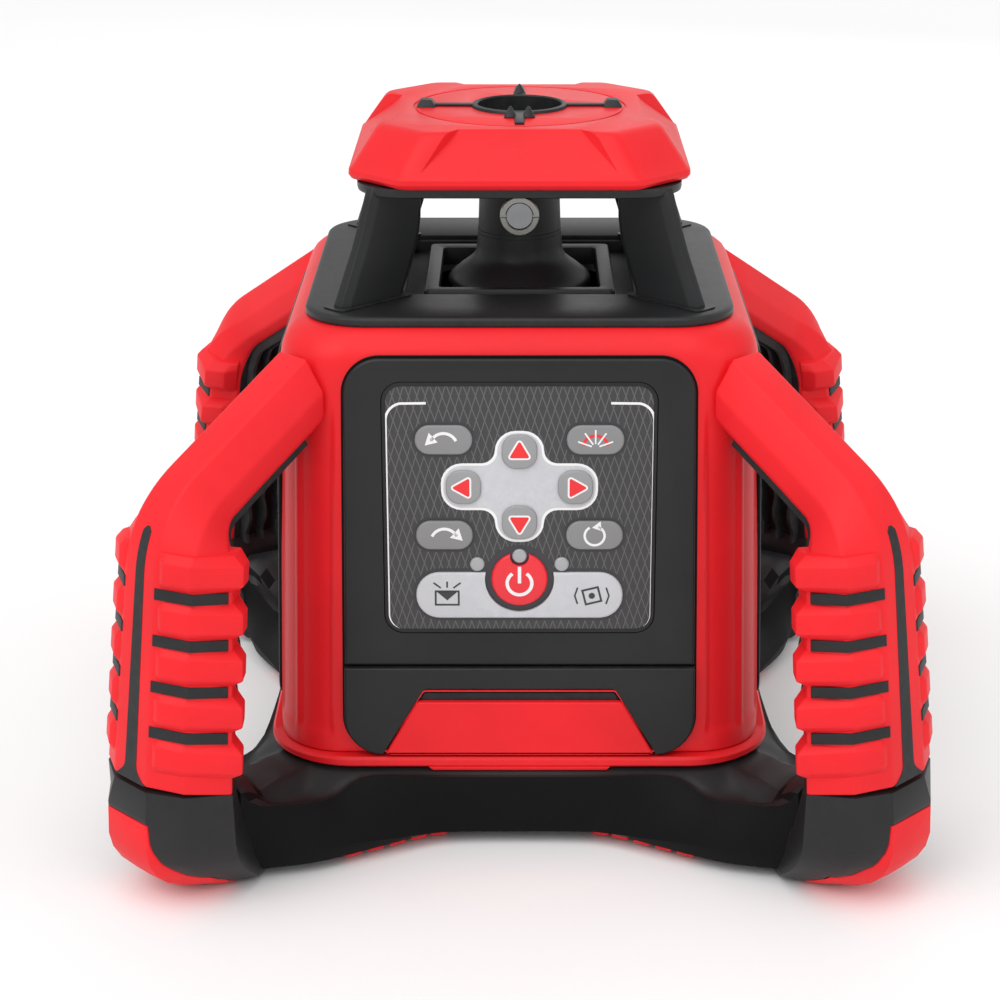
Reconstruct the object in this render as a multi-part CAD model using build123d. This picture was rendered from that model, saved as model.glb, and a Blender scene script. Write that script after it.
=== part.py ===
from math import atan2, cos, degrees, pi, radians, sin, sqrt

from build123d import *

# Rotating laser level. Millimetres, +Z up, front (keypad) towards -Y.
# Origin: on the ground, under the middle of the instrument.

# ---------------------------------------------------------------- driving dimensions
GAP = 0.3                 # clearance between bodies that move past each other
WALL = 2.5                # moulded wall thickness

BODY_BOTTOM_Z = 25.0      # red housing stands on the base rim here
SHOULDER_Z = 128.0        # housing starts to draw in here
DECK_BOTTOM_Z = 136.4
DECK_TOP_Z = 138.9
BODY_HALF_LOW = 62.8      # half width of the housing at its bottom
BODY_HALF_HIGH = 60.0     # half width at the shoulder
DECK_HALF = 53.9
BODY_CORNER_R = 17.0
DECK_CORNER_R = 15.0

RIM_HALF = 65.5           # red rim between base and housing
RIM_HEIGHT = 2.8
BASE_BOTTOM_Z = 3.0       # underside of the base, above its rubber treads
BASE_CREST_Z = 20.0       # top of the base walls at the middle of each side
BASE_WAIST = 65.4         # half width of the base at the middle of each side
FOOT_TOP_Z = 31.0         # ledge that each handle stands on

GRIP_LEAN = 0.125         # outward run of a handle per millimetre down
GRIP_MID_Z = 71.5
GRIP_MID_REACH = 120.0    # distance of the grip's centre from the Z axis at GRIP_MID_Z
ARM_SLOPE = 0.607         # drop of a handle's arm per millimetre outward
BEND_REACH = 117.0
BEND_Z = 95.2
BULGE_PITCH = 11.49
BULGE_HEIGHT = 8.7
TOP_BULGE_Z = 87.3
BULGE_COUNT = 5
LAMELLA_PITCH = 5.8       # ribs on the inner face of each handle
STRIPE_WIDTH = 3.6        # soft black stripe down the outer corner of each handle
STRIPE_TOP_Z = 97.5

WELL_HALF = 20.8          # square well that the rotor stands in
WELL_FRAME_HALF = 24.6
RECESS_HALF = 31.0
WELL_FLOOR_Z = 133.2

CAP_BOTTOM_Z = 168.0
CAP_TOP_Z = 181.2
CAP_HALF = 42.0
CAP_TOP_HALF = 30.0
GUARD_RING_Z = 165.5      # underside of the black ring below the cap
BEAM_HOLE_R = 10.9
SIGHT_TOP_Z = 184.0

PIVOT_Z = 120.0           # crossing point of the two levelling axes
LEVER = 44.0              # distance from a levelling axis to its actuator

KEY_STANDS = 1.0          # a key's height above the membrane
PANEL_PROUD = 0.8         # bezel above the housing's face
KEYPAD_Z = 91.8
KEYPAD_HALF_X = 34.1
KEYPAD_HALF_Z = 33.0

THREAD_MAJOR_R = 15.875 / 2
THREAD_MINOR_R = 13.4 / 2  # 5/8-11 UNC internal thread, minor diameter
INSERT_R = THREAD_MAJOR_R + 2.5

SLOPE = (BODY_HALF_LOW - BODY_HALF_HIGH) / (SHOULDER_Z - BODY_BOTTOM_Z)
FACE_HALF_AT_GROUND = BODY_HALF_LOW + SLOPE * BODY_BOTTOM_Z
FACE_TILT = atan2(SLOPE, 1.0)
# Plane of the housing's front face: x right, y up the face (zero at the ground), z outwards.
FRONT = Plane(
    origin=(0, -FACE_HALF_AT_GROUND, 0),
    x_dir=(1, 0, 0),
    z_dir=(0, -cos(FACE_TILT), sin(FACE_TILT)),
)


# ---------------------------------------------------------------- helpers
def save(shape, name):
    export_step(shape, f"parts/{name}.step")


def slab(half_x, half_y, bottom, top, radius=0.0):
    """Upright block centred on the Z axis, with rounded vertical edges."""
    if radius:
        outline = RectangleRounded(2 * half_x, 2 * half_y, radius)
    else:
        outline = Rectangle(2 * half_x, 2 * half_y)
    return extrude(Pos(0, 0, bottom) * outline, top - bottom)


def box_between(low, high):
    size = [b - a for a, b in zip(low, high)]
    return Pos(*low) * Box(*size, align=(Align.MIN, Align.MIN, Align.MIN))


def taper(half_low, half_high, radius_low, radius_high, bottom, top):
    low = Pos(0, 0, bottom) * RectangleRounded(2 * half_low, 2 * half_low, radius_low)
    high = Pos(0, 0, top) * RectangleRounded(2 * half_high, 2 * half_high, radius_high)
    return loft([low, high], ruled=True)


def pin(radius, bottom, top, x=0.0, y=0.0):
    return Pos(x, y, bottom) * Cylinder(radius, top - bottom, align=(Align.CENTER, Align.CENTER, Align.MIN))


def tube(outer, inner, bottom, top, x=0.0, y=0.0):
    return pin(outer, bottom, top, x, y) - pin(inner, bottom - 1, top + 1, x, y)


def rod_along(axis, radius, start, end, across, z):
    """Round rod along X or Y from start to end, centred at across and z."""
    rod = Cylinder(radius, end - start, align=(Align.CENTER, Align.CENTER, Align.MIN))
    if axis == "x":
        return Pos(start, across, z) * Rot(0, 90, 0) * rod
    return Pos(across, start, z) * Rot(-90, 0, 0) * rod


def quarter(shape, turn):
    return Rot(0, 0, 90 * turn) * shape


def four(shape):
    """The shape and its three quarter turns about Z, as separate solids."""
    return Compound([solid for turn in range(4) for solid in quarter(shape, turn).solids()])


def body_envelope(inset=0.0, bottom=BODY_BOTTOM_Z, top=DECK_BOTTOM_Z):
    """Outer form of the housing, drawn in by inset on every side."""
    half_low = FACE_HALF_AT_GROUND - SLOPE * bottom - inset
    radius = BODY_CORNER_R - inset
    walls = taper(half_low, BODY_HALF_HIGH - inset, radius, radius, bottom, SHOULDER_Z)
    shoulder = taper(
        BODY_HALF_HIGH - inset, DECK_HALF - inset, radius, DECK_CORNER_R - inset, SHOULDER_Z, top
    )
    return walls + shoulder


def face_block(half_x, low, high, inner, outer, radius):
    """Rounded plate on the front face, from height low to high, inner to outer off the face."""
    outline = RectangleRounded(2 * half_x, high - low, radius)
    plate = extrude(Pos(0, (low + high) / 2, inner) * outline, outer - inner)
    return FRONT * plate


def side_plate(turn):
    return quarter(face_block(46.5, 33, 127.5, 0.0, PANEL_PROUD, 10), turn)


# ---------------------------------------------------------------- handles
def reach_at(z):
    """Distance of the grip's centre line from the Z axis at height z."""
    return GRIP_MID_REACH + (GRIP_MID_Z - z) * GRIP_LEAN


def station(reach, z, angle, outline):
    """Face across a handle: outline points are (outward, sideways) from the centre line."""
    plane = Plane(
        origin=(reach, 0, z),
        x_dir=(cos(angle), 0, sin(angle)),
        z_dir=(-sin(angle), 0, cos(angle)),
    )
    right = [(n, t) for n, t in outline]
    left = [(n, -t) for n, t in reversed(outline)]
    return make_face(plane * Polyline(*right, *left, close=True))


# Half sections of a handle: (outward, sideways) of each corner from its centre line.
GRIP_SECTION = [(9.8, 5.0), (5.1, 13.1), (-3.2, 18.4), (-10.2, 15.2)]
BULGE_SECTION = [(9.4, 5.8), (6.9, 14.8), (-2.4, 20.4), (-8.8, 18.8)]
GRIP_CORE = [(7.6, 4.4), (3.4, 11.4), (-3.6, 16.0), (-11.2, 13.0)]
ARM_SECTION = [(13.0, 5.2), (4.0, 9.8), (-4.0, 10.0), (-8.4, 6.8)]
ARM_CORE = [(10.8, 4.0), (3.0, 7.8), (-3.6, 8.0), (-9.2, 5.6)]
ARM_ROOT_REACH = 70.0
ARM_END_REACH = 108.0


def between(section_a, section_b, share):
    """Half section part of the way from one to the other."""
    return [
        (na + (nb - na) * share, ta + (tb - ta) * share)
        for (na, ta), (nb, tb) in zip(section_a, section_b)
    ]


def arm_height(reach):
    """Height of the arm's centre line at a distance from the Z axis."""
    return BEND_Z + ARM_SLOPE * (BEND_REACH - reach)


def handle_form(arm, grip):
    """Handle from the housing's corner, round the bend and down to the foot."""
    lean = atan2(GRIP_LEAN, 1.0)
    climb = pi / 2 - atan2(ARM_SLOPE, 1.0)
    bend_low_z = BEND_Z - 11.0
    middle_reach = BEND_REACH - 1.8
    stations = [
        station(ARM_ROOT_REACH, arm_height(ARM_ROOT_REACH), climb, arm),
        station(ARM_END_REACH - 4, arm_height(ARM_END_REACH - 4), climb, between(arm, grip, 0.15)),
        station(middle_reach, BEND_Z + 0.4, (climb + lean) / 2, between(arm, grip, 0.6)),
        station(reach_at(bend_low_z), bend_low_z, lean, grip),
        station(reach_at(FOOT_TOP_Z), FOOT_TOP_Z, lean, grip),
    ]
    return loft(stations, ruled=True)


def grip_slice(outline, middle_z, height):
    """Slice of the grip across its lean, height tall, centred at middle_z."""
    lean = atan2(GRIP_LEAN, 1.0)
    lower = station(reach_at(middle_z - height / 2), middle_z - height / 2, lean, outline)
    upper = station(reach_at(middle_z + height / 2), middle_z + height / 2, lean, outline)
    return loft([lower, upper], ruled=True)


def foot_level_cut():
    return box_between((60, -40, -20), (160, 40, FOOT_TOP_Z + 0.01))


def make_handle():
    """One handle on the +X side: black core with lamellae, and its red grip."""
    form = handle_form(ARM_SECTION, GRIP_SECTION)
    core = handle_form(ARM_CORE, GRIP_CORE)
    stripe = box_between((121, -STRIPE_WIDTH / 2, FOOT_TOP_Z), (150, STRIPE_WIDTH / 2, STRIPE_TOP_Z))
    stripe = stripe & form
    core = core + stripe
    grip = form - core
    for index in range(BULGE_COUNT):
        middle = TOP_BULGE_Z - index * BULGE_PITCH
        bulge = grip_slice(BULGE_SECTION, middle, BULGE_HEIGHT) - form
        grip = grip + bulge
    band_height = BULGE_PITCH - BULGE_HEIGHT
    for index in range(BULGE_COUNT - 1):
        middle = TOP_BULGE_Z - (index + 0.5) * BULGE_PITCH
        for side in (-1, 1):
            reach = reach_at(middle)
            low = (reach - 2.6, min(side * 5.6, side * 30), middle - band_height / 2)
            high = (reach + 12, max(side * 5.6, side * 30), middle + band_height / 2)
            grip = grip - box_between(low, high)
    lamella_reach = 1.6
    for index in range(-2, 3):
        slot = box_between(
            (0, index * LAMELLA_PITCH - 1.3, FOOT_TOP_Z + 8),
            (reach_at(60) - 11.0 + lamella_reach, index * LAMELLA_PITCH + 1.3, BEND_Z - 16),
        )
        core = core - slot
    envelope = Rot(0, 0, -45) * (body_envelope() + side_plate(1) + side_plate(2))
    core = core - envelope - foot_level_cut()
    grip = grip - envelope - foot_level_cut()
    return core, grip


CORNERS = {"front_left": -135, "front_right": -45, "rear_right": 45, "rear_left": 135}


# ---------------------------------------------------------------- base
def base_star():
    """Plan of the base: concave sides between four legs."""
    side = [(-85, 90), (-56, 85), (-20, BASE_WAIST), (20, BASE_WAIST), (56, 85), (85, 90)]
    points = []
    for turn in range(4):
        angle = radians(-90 * turn)
        for along, out in side:
            points.append(
                (along * cos(angle) - out * sin(angle), along * sin(angle) + out * cos(angle))
            )
    outline = make_face(Polyline(*points, close=True))
    inner_corners = outline.vertices().filter_by(lambda v: max(abs(v.X), abs(v.Y)) < 86)
    return fillet(inner_corners, 26)


FOOT_SECTION = [(10.6, 5.4), (6.2, 14.2), (-4.0, 17.0), (-18.0, 15.0)]


def foot_form():
    """End of one leg, on the +X side: upright above, rounded under at the ground."""
    top = reach_at(FOOT_TOP_Z)
    levels = [(0.0, -9.0, -4.0), (4.0, -3.4, -1.4), (11.0, 0.0, 0.0), (FOOT_TOP_Z, 0.0, 0.0)]
    faces = []
    for z, outward, sideways in levels:
        outline = [
            (FOOT_SECTION[0][0] + outward, FOOT_SECTION[0][1]),
            (FOOT_SECTION[1][0] + outward, FOOT_SECTION[1][1] + sideways),
            (FOOT_SECTION[2][0], FOOT_SECTION[2][1] + sideways),
            FOOT_SECTION[3],
        ]
        faces.append(station(top, z, 0.0, outline))
    return loft(faces, ruled=True)


def bumper_zone():
    """Outer and lower part of a foot that the rubber bumper takes."""
    profile = Polyline(
        (128.0, 24.0), (150, 24.0), (150, -5), (112, -5), (112, 3.0), (119.0, 4.0), (128.0, 14.0),
        close=True,
    )
    return extrude(make_face(Plane.XZ * profile), 30, both=True)


def make_base():
    star = extrude(Pos(0, 0, BASE_BOTTOM_Z) * base_star(), BASE_CREST_Z - BASE_BOTTOM_Z)
    neck = taper(BASE_WAIST + 1.5, 62.5, 19, 18, BASE_CREST_Z - 4, BODY_BOTTOM_Z - RIM_HEIGHT)
    beam_profile = Polyline(
        (60, BASE_BOTTOM_Z), (118, BASE_BOTTOM_Z), (118, FOOT_TOP_Z), (104, FOOT_TOP_Z - 1),
        (94, 25.5), (87, 22.0), (60, 22.0), close=True,
    )
    beam = extrude(make_face(Plane.XZ * beam_profile), 14.5, both=True)
    frame = star + neck
    foot = foot_form()
    foot_core = foot - bumper_zone()
    for turn in range(4):
        frame = frame + quarter(Rot(0, 0, 45) * beam, turn)
        frame = frame + quarter(Rot(0, 0, 45) * foot_core, turn)
    zone = Rot(0, 0, 45) * bumper_zone()
    for turn in range(4):
        frame = frame - quarter(zone, turn)
    frame = frame - pin(INSERT_R, -1, 18.0)
    for x, y in corner_points(SCREW_SPREAD):
        frame = frame - pin(SCREW_R + 0.05, -1, 60, x, y) - pin(SCREW_HEAD_R + 0.3, -1, 5.5, x, y)
    bumper = Rot(0, 0, 45) * (foot & bumper_zone())
    return frame, four(bumper)


SCREW_R = 2.0
SCREW_HEAD_R = 3.5
SCREW_SPREAD = 52.5


def corner_points(spread):
    return [(sx * spread, sy * spread) for sx in (-1, 1) for sy in (-1, 1)]


RIM_LIP_HALF = 22.8       # finger lip under the rim below the battery latch


def make_rim():
    """Red rim between the base and the housing, with holes for the case screws."""
    rim = slab(RIM_HALF, RIM_HALF, BODY_BOTTOM_Z - RIM_HEIGHT, BODY_BOTTOM_Z, 18)
    rim = rim - slab(56, 56, 0, 60, 14)
    underside = BODY_BOTTOM_Z - RIM_HEIGHT
    lip_low = (-RIM_LIP_HALF, -RIM_HALF, underside - 1.0)
    rim = rim + box_between(lip_low, (RIM_LIP_HALF, -RIM_HALF + 1.6, underside))
    for x, y in corner_points(SCREW_SPREAD):
        rim = rim - pin(SCREW_R + 0.05, 0, 60, x, y)
    return rim


TREAD_COUNT = 5
TREAD_PITCH = 5.6


def make_treads():
    """Rubber teeth under the concave edge on each side of the base."""
    tooth = box_between((-4.5, -2.1, 0.4), (4.5, 2.1, BASE_BOTTOM_Z))
    teeth = []
    for side in (-1, 1):
        for index in range(TREAD_COUNT):
            along = side * (23.0 + index * TREAD_PITCH)
            out = BASE_WAIST - 3.5 + 3.0 * index
            teeth.append(Pos(along, -out, 0) * Rot(0, 0, 90 - side * 27) * tooth)
    return Compound([s for turn in range(4) for t in teeth for s in quarter(t, turn).solids()])


# ---------------------------------------------------------------- housing
WINDOW_HALF_X = 42.0      # opening in each face behind its panel
PANEL_HALF_LOW = 45.0     # half width of the front panel at its foot
PANEL_HALF_HIGH = 43.2
PANEL_FOOT_Z = 25.4
PANEL_SEAM_Z = 49.9       # bezel above, battery cover below
PANEL_HIGH_Z = 130.6
PANEL_TOP_R = 9.0
PANEL_FOOT_R = 10.0
BAY_HALF_X = 41.0         # battery bay
BAY_LOW_Z = 26.6
BAY_HIGH_Z = 51.0
BAY_REAR_Y = 24.0
TRAY_LOW_Z = 28.5
CELL_R = 9.0              # four 18 x 65 mm cells lie side by side
CELL_LENGTH = 65.0


def side_window(half_x, low, high):
    """Block through the front wall between two heights."""
    return face_block(half_x, low, high, -8, 6, 6)


def bay_mouth():
    """Opening of the battery bay in the front wall, drawn in at its foot inside the cover's corners."""
    outline = Polyline(
        (-33, BODY_BOTTOM_Z - 1), (33, BODY_BOTTOM_Z - 1), (36, 25.9), (BAY_HALF_X, 28.6),
        (BAY_HALF_X, BAY_HIGH_Z), (-BAY_HALF_X, BAY_HIGH_Z), (-BAY_HALF_X, 28.6), (-36, 25.9),
        close=True,
    )
    return Pos(0, -60, 0) * extrude(make_face(Plane.XZ * outline), 20, both=True)


FLUTE_R = 1.1
FLUTE_HALF_GAP = 6.5      # from the corner's middle to each flute
FLUTE_SINK = 0.9          # depth of a flute's axis below the corner's surface


def make_body_shell():
    shell = body_envelope() - body_envelope(WALL, BODY_BOTTOM_Z - 1, DECK_BOTTOM_Z - WALL)
    shell = shell - slab(RECESS_HALF + 0.6, RECESS_HALF + 0.6, DECK_BOTTOM_Z - 6, DECK_TOP_Z, 2)
    shell = shell - side_window(WINDOW_HALF_X - 6, 56, 124)
    shell = shell - bay_mouth()
    for turn in (1, 2, 3):
        shell = shell - quarter(side_window(WINDOW_HALF_X - 4, 40, 118), turn)
    flute = pin(FLUTE_R, 34, 118)
    corner_reach = (BODY_HALF_LOW - BODY_CORNER_R) * sqrt(2) + BODY_CORNER_R - FLUTE_SINK
    for turn in range(4):
        for offset in (-FLUTE_HALF_GAP, FLUTE_HALF_GAP):
            lean = Pos(corner_reach, offset, 0) * Rot(0, -degrees(FACE_TILT), 0) * flute
            shell = shell - quarter(Rot(0, 0, 45) * lean, turn)
    for x, y in corner_points(SCREW_SPREAD):
        shell = shell + (tube(5.6, SCREW_R + 0.05, BODY_BOTTOM_Z, 42, x, y) & body_envelope(1.0))
    return shell


def make_side_panel(turn):
    """Black panel of a side or the back, with a step that fills the window behind it."""
    step = face_block(WINDOW_HALF_X - 4.3, 40.3, 117.7, -2.0, 0.0, 5.7)
    return side_plate(turn) + quarter(step, turn)


def front_panel(low, high, inner, outer):
    """Band of the front panel between two heights; bezel and battery cover share one outline."""
    outline = make_face(
        Polyline(
            (-PANEL_HALF_LOW, PANEL_FOOT_Z), (PANEL_HALF_LOW, PANEL_FOOT_Z),
            (PANEL_HALF_HIGH, PANEL_HIGH_Z), (-PANEL_HALF_HIGH, PANEL_HIGH_Z), close=True,
        )
    )
    outline = fillet(outline.vertices().group_by(Axis.Y)[-1], PANEL_TOP_R)
    outline = fillet(outline.vertices().group_by(Axis.Y)[0], PANEL_FOOT_R)
    plate = extrude(Pos(0, 0, inner) * outline, outer - inner)
    return FRONT * (plate & box_between((-60, low, inner - 1), (60, high, outer + 1)))


def make_front_bezel():
    plate = front_panel(PANEL_SEAM_Z, PANEL_HIGH_Z, 0.0, PANEL_PROUD + 0.4)
    low = KEYPAD_Z - KEYPAD_HALF_Z
    high = KEYPAD_Z + KEYPAD_HALF_Z
    recess = face_block(KEYPAD_HALF_X, low, high, 0.2, 4, 3)
    window = face_block(KEYPAD_HALF_X - 4, low + 4, high - 4, -1, 4, 3)
    return plate - recess - window


# ---------------------------------------------------------------- deck, guard and cap
def make_deck():
    deck = slab(DECK_HALF, DECK_HALF, DECK_BOTTOM_Z, DECK_TOP_Z, 16)
    top_edge = deck.edges().group_by(Axis.Z)[-1]
    deck = chamfer(top_edge, 0.7)
    return deck - slab(RECESS_HALF, RECESS_HALF, DECK_BOTTOM_Z - 1, DECK_TOP_Z + 1, 1.5)


def make_well():
    floor = slab(RECESS_HALF - 0.05, RECESS_HALF - 0.05, WELL_FLOOR_Z, WELL_FLOOR_Z + 1.6, 1.4)
    wall = slab(RECESS_HALF - 0.05, RECESS_HALF - 0.05, WELL_FLOOR_Z, DECK_BOTTOM_Z + 1, 1.4)
    wall = wall - slab(RECESS_HALF - 1.4, RECESS_HALF - 1.4, WELL_FLOOR_Z, DECK_TOP_Z, 1)
    frame = slab(WELL_FRAME_HALF, WELL_FRAME_HALF, WELL_FLOOR_Z, 138.2, 1.5)
    well = floor + wall + frame
    return well - slab(WELL_HALF, WELL_HALF, WELL_FLOOR_Z - 1, DECK_TOP_Z, 1.2)


def post_face(z, outer_reach, inner_reach, thickness):
    half = thickness / 2
    return Pos(0, 0, z) * make_face(
        Polyline(
            (outer_reach, -half * 0.8), (outer_reach, half * 0.8),
            (outer_reach - 3, half), (inner_reach, half),
            (inner_reach, -half), (outer_reach - 3, -half), close=True,
        )
    )


def make_guard():
    """Four radial blades with the ring that carries the cap."""
    sections = [
        post_face(DECK_TOP_Z, 64.0, 43.5, 5.0),
        post_face(152.0, 58.4, 37.6, 4.6),
        post_face(CAP_BOTTOM_Z - 1.5, 53.0, 36.5, 4.4),
    ]
    post = loft(sections, ruled=True)
    ring = slab(CAP_HALF - 1.2, CAP_HALF - 1.2, GUARD_RING_Z, CAP_BOTTOM_Z, 12)
    ring = ring - pin(27.0, GUARD_RING_Z - 1, CAP_BOTTOM_Z + 1)
    guard = ring
    for turn in range(4):
        guard = guard + quarter(Rot(0, 0, 45) * post, turn)
    return guard


def octagon(half, cut):
    """Square of the given half width with its corners cut off."""
    points = []
    for turn in range(4):
        angle = radians(90 * turn)
        for along in (-(half - cut), half - cut):
            points.append((half * cos(angle) - along * sin(angle), half * sin(angle) + along * cos(angle)))
    return make_face(Polyline(*points, close=True))


def make_cap():
    rim = loft(
        [Pos(0, 0, CAP_BOTTOM_Z) * octagon(CAP_HALF - 0.8, 13), Pos(0, 0, 170.2) * octagon(CAP_HALF, 13)],
        ruled=True,
    )
    slope = loft(
        [Pos(0, 0, 170.2) * octagon(CAP_HALF, 13), Pos(0, 0, CAP_TOP_Z) * octagon(CAP_TOP_HALF, 11)],
        ruled=True,
    )
    cap = rim + slope
    hollow = loft(
        [Pos(0, 0, CAP_BOTTOM_Z) * octagon(37, 11), Pos(0, 0, CAP_TOP_Z - 3.0) * octagon(27, 10)],
        ruled=True,
    )
    cap = cap - hollow + tube(15.0, BEAM_HOLE_R + 1.6, CAP_BOTTOM_Z + 1, CAP_TOP_Z - 2)
    return cap - pin(BEAM_HOLE_R + 1.6, CAP_BOTTOM_Z - 1, CAP_TOP_Z + 1)


def make_sights():
    """Black ring in the cap's hole, with four arms, their blocks and aiming spikes."""
    ring = tube(BEAM_HOLE_R + 1.6, BEAM_HOLE_R, CAP_BOTTOM_Z + 2, CAP_TOP_Z + 0.8)
    arms = []
    for turn in range(4):
        arm = box_between((BEAM_HOLE_R + 1.0, -1.6, CAP_TOP_Z), (24.0, 1.6, CAP_TOP_Z + 0.6))
        if turn in (0, 2):
            block = loft(
                [Pos(24.0, 0, CAP_TOP_Z) * Rectangle(5.6, 6.4), Pos(24.4, 0, CAP_TOP_Z + 1.8) * Rectangle(3, 4)],
                ruled=True,
            )
            piece = arm + block
        else:
            spikes = []
            places = (0.0,) if turn == 1 else (-2.2, 2.2)
            for offset in places:
                cone = Cone(1.5, 0.3, SIGHT_TOP_Z - CAP_TOP_Z, align=(Align.CENTER, Align.CENTER, Align.MIN))
                spikes.append(Pos(16.0, offset, CAP_TOP_Z) * cone)
            piece = arm
            for spike in spikes:
                piece = piece + spike
        arms.append(quarter(piece, turn))
    sights = ring
    for arm in arms:
        sights = sights + arm
    return sights


# ---------------------------------------------------------------- keypad
PILL_X = 18.75
PILL_HALF_X = 7.1
PILL_HALF_Z = 3.75
PILL_HIGH_Z = 110.1
PILL_LOW_Z = 85.2
CROSS_Z = 97.8
CROSS_REACH_X = 13.9      # centre of the left and right arrow keys
CROSS_REACH_Z = 9.2       # centre of the up and down arrow keys
ARROW_HALF = 4.4
POWER_Z = 73.5
POWER_R = 7.1
LONG_KEY_Z = 69.2
LONG_KEY_HALF_X = 26.0
LONG_KEY_HALF_Z = 6.1
KEY_GAP = 0.35
MEMBRANE_INNER = 0.2      # off the housing's face plane
MEMBRANE_OUTER = 1.0
LED_R = 1.9
LED_PLACES = [(-10.6, 77.4), (10.6, 77.4), (0.0, 79.6)]


def key_plate(outline, inner=MEMBRANE_INNER, outer=MEMBRANE_OUTER + KEY_STANDS):
    return FRONT * extrude(Pos(0, 0, inner) * outline, outer - inner)


def pill(x, z, grow=0.0):
    half_x = PILL_HALF_X + grow
    half_z = PILL_HALF_Z + grow
    return Pos(x, z) * RectangleRounded(2 * half_x, 2 * half_z, half_z * 0.98)


def arrow(dx, dz, grow=0.0):
    x = dx * CROSS_REACH_X
    z = CROSS_Z + dz * CROSS_REACH_Z
    half = ARROW_HALF + grow
    return Pos(x, z) * RectangleRounded(2 * half, 2 * half, half * 0.7)


def long_key(side, grow=0.0):
    """Half of the long bottom pill, cut round the power key."""
    half_z = LONG_KEY_HALF_Z + grow
    whole = Pos(0, LONG_KEY_Z) * RectangleRounded(2 * (LONG_KEY_HALF_X + grow), 2 * half_z, half_z * 0.98)
    cut = Pos(0, POWER_Z) * Circle(POWER_R + 1.6 - grow)
    half = whole & (Pos(side * 20, LONG_KEY_Z) * Rectangle(40, 40))
    return half - cut


def power_disc(grow=0.0):
    """Round power key with a bite for the middle lamp at its top edge."""
    x, z = LED_PLACES[2]
    return Pos(0, POWER_Z) * Circle(POWER_R + grow) - Pos(x, z) * Circle(LED_R + 0.5 - grow)


KEYS = {
    "key_turn_left": lambda grow: pill(-PILL_X, PILL_HIGH_Z, grow),
    "key_scan": lambda grow: pill(PILL_X, PILL_HIGH_Z, grow),
    "key_turn_right": lambda grow: pill(-PILL_X, PILL_LOW_Z, grow),
    "key_speed": lambda grow: pill(PILL_X, PILL_LOW_Z, grow),
    "key_up": lambda grow: arrow(0, 1, grow),
    "key_down": lambda grow: arrow(0, -1, grow),
    "key_left": lambda grow: arrow(-1, 0, grow),
    "key_right": lambda grow: arrow(1, 0, grow),
    "key_power": power_disc,
    "key_manual": lambda grow: long_key(-1, grow),
    "key_shock": lambda grow: long_key(1, grow),
}


def make_membrane():
    low = KEYPAD_Z - KEYPAD_HALF_Z
    high = KEYPAD_Z + KEYPAD_HALF_Z
    sheet = face_block(KEYPAD_HALF_X - 0.05, low + 0.05, high - 0.05, MEMBRANE_INNER, MEMBRANE_OUTER, 2.9)
    for outline in KEYS.values():
        hole = FRONT * extrude(Pos(0, 0, -1) * outline(KEY_GAP), 6)
        sheet = sheet - hole
    for x, z in LED_PLACES:
        sheet = sheet - FRONT * (Pos(x, z, -1) * Cylinder(LED_R, 8))
    return sheet


def make_leds():
    lens = Cylinder(LED_R - 0.05, 4.2, align=(Align.CENTER, Align.CENTER, Align.MIN))
    return Compound([s for x, z in LED_PLACES for s in (FRONT * (Pos(x, z, -2.8) * lens)).solids()])



# ---------------------------------------------------------------- battery
def make_bay():
    """Sleeve inside the housing that the battery pack slides into."""
    outer = box_between(
        (-BAY_HALF_X, -FACE_HALF_AT_GROUND + 3.6, BAY_LOW_Z), (BAY_HALF_X, BAY_REAR_Y, BAY_HIGH_Z)
    )
    inner = box_between(
        (-BAY_HALF_X + 1.6, -80, BAY_LOW_Z + 1.6), (BAY_HALF_X - 1.6, BAY_REAR_Y - 1.6, BAY_HIGH_Z - 1.6)
    )
    return outer - inner


def latch_outline(grow=0.0):
    """Trapezium of the latch flap, wide at its foot."""
    low = 25.9 - grow
    high = 40.4 + grow
    return make_face(
        Polyline(
            (-34.6 - grow, low), (34.6 + grow, low), (26.2 + grow * 1.4, high), (-26.2 - grow * 1.4, high),
            close=True,
        )
    )


def make_pack_case():
    """Cover of the bay with the tray that holds the four cells."""
    cover = front_panel(PANEL_FOOT_Z, PANEL_SEAM_Z - 0.4, 0.05, PANEL_PROUD + 1.6)
    cover = cover - FRONT * extrude(Pos(0, 0, 1.0) * latch_outline(0.35), 6)
    cover = cover - face_block(34.6, 24, 27, 1.0, 6, 0.3)
    notch = face_block(24.6, 40.0, 43.6, -3.2, 6, 1.2)
    cover = cover - notch
    left = -BAY_HALF_X + 1.9
    front = -FACE_HALF_AT_GROUND + 0.72
    tray = box_between((left, front, TRAY_LOW_Z), (-left, BAY_REAR_Y - 4, BAY_HIGH_Z - 1.9))
    hollow = box_between(
        (left + 1.5, front + 5.3, TRAY_LOW_Z + 1.0), (-left - 1.5, BAY_REAR_Y - 5.2, BAY_HIGH_Z)
    )
    return cover + (tray - hollow - notch)


def make_cells():
    cells = []
    for index in range(4):
        y = -48.2 + index * 18.8
        cells.append(rod_along("x", CELL_R, -CELL_LENGTH / 2, CELL_LENGTH / 2, y, TRAY_LOW_Z + 1.2 + CELL_R))
    return Compound([s for cell in cells for s in cell.solids()])


def make_contacts():
    """Two sprung contacts at the back of the bay."""
    blades = []
    for x in (-14.0, 14.0):
        blades.append(
            box_between((x - 3, BAY_REAR_Y - 3.3, 32), (x + 3, BAY_REAR_Y - 1.6, 44))
        )
    return Compound([s for blade in blades for s in blade.solids()])


LATCH_HINGE_Z = 26.3
LATCH_HINGE_OUT = 2.15
LATCH_HINGE_R = 0.85


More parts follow.
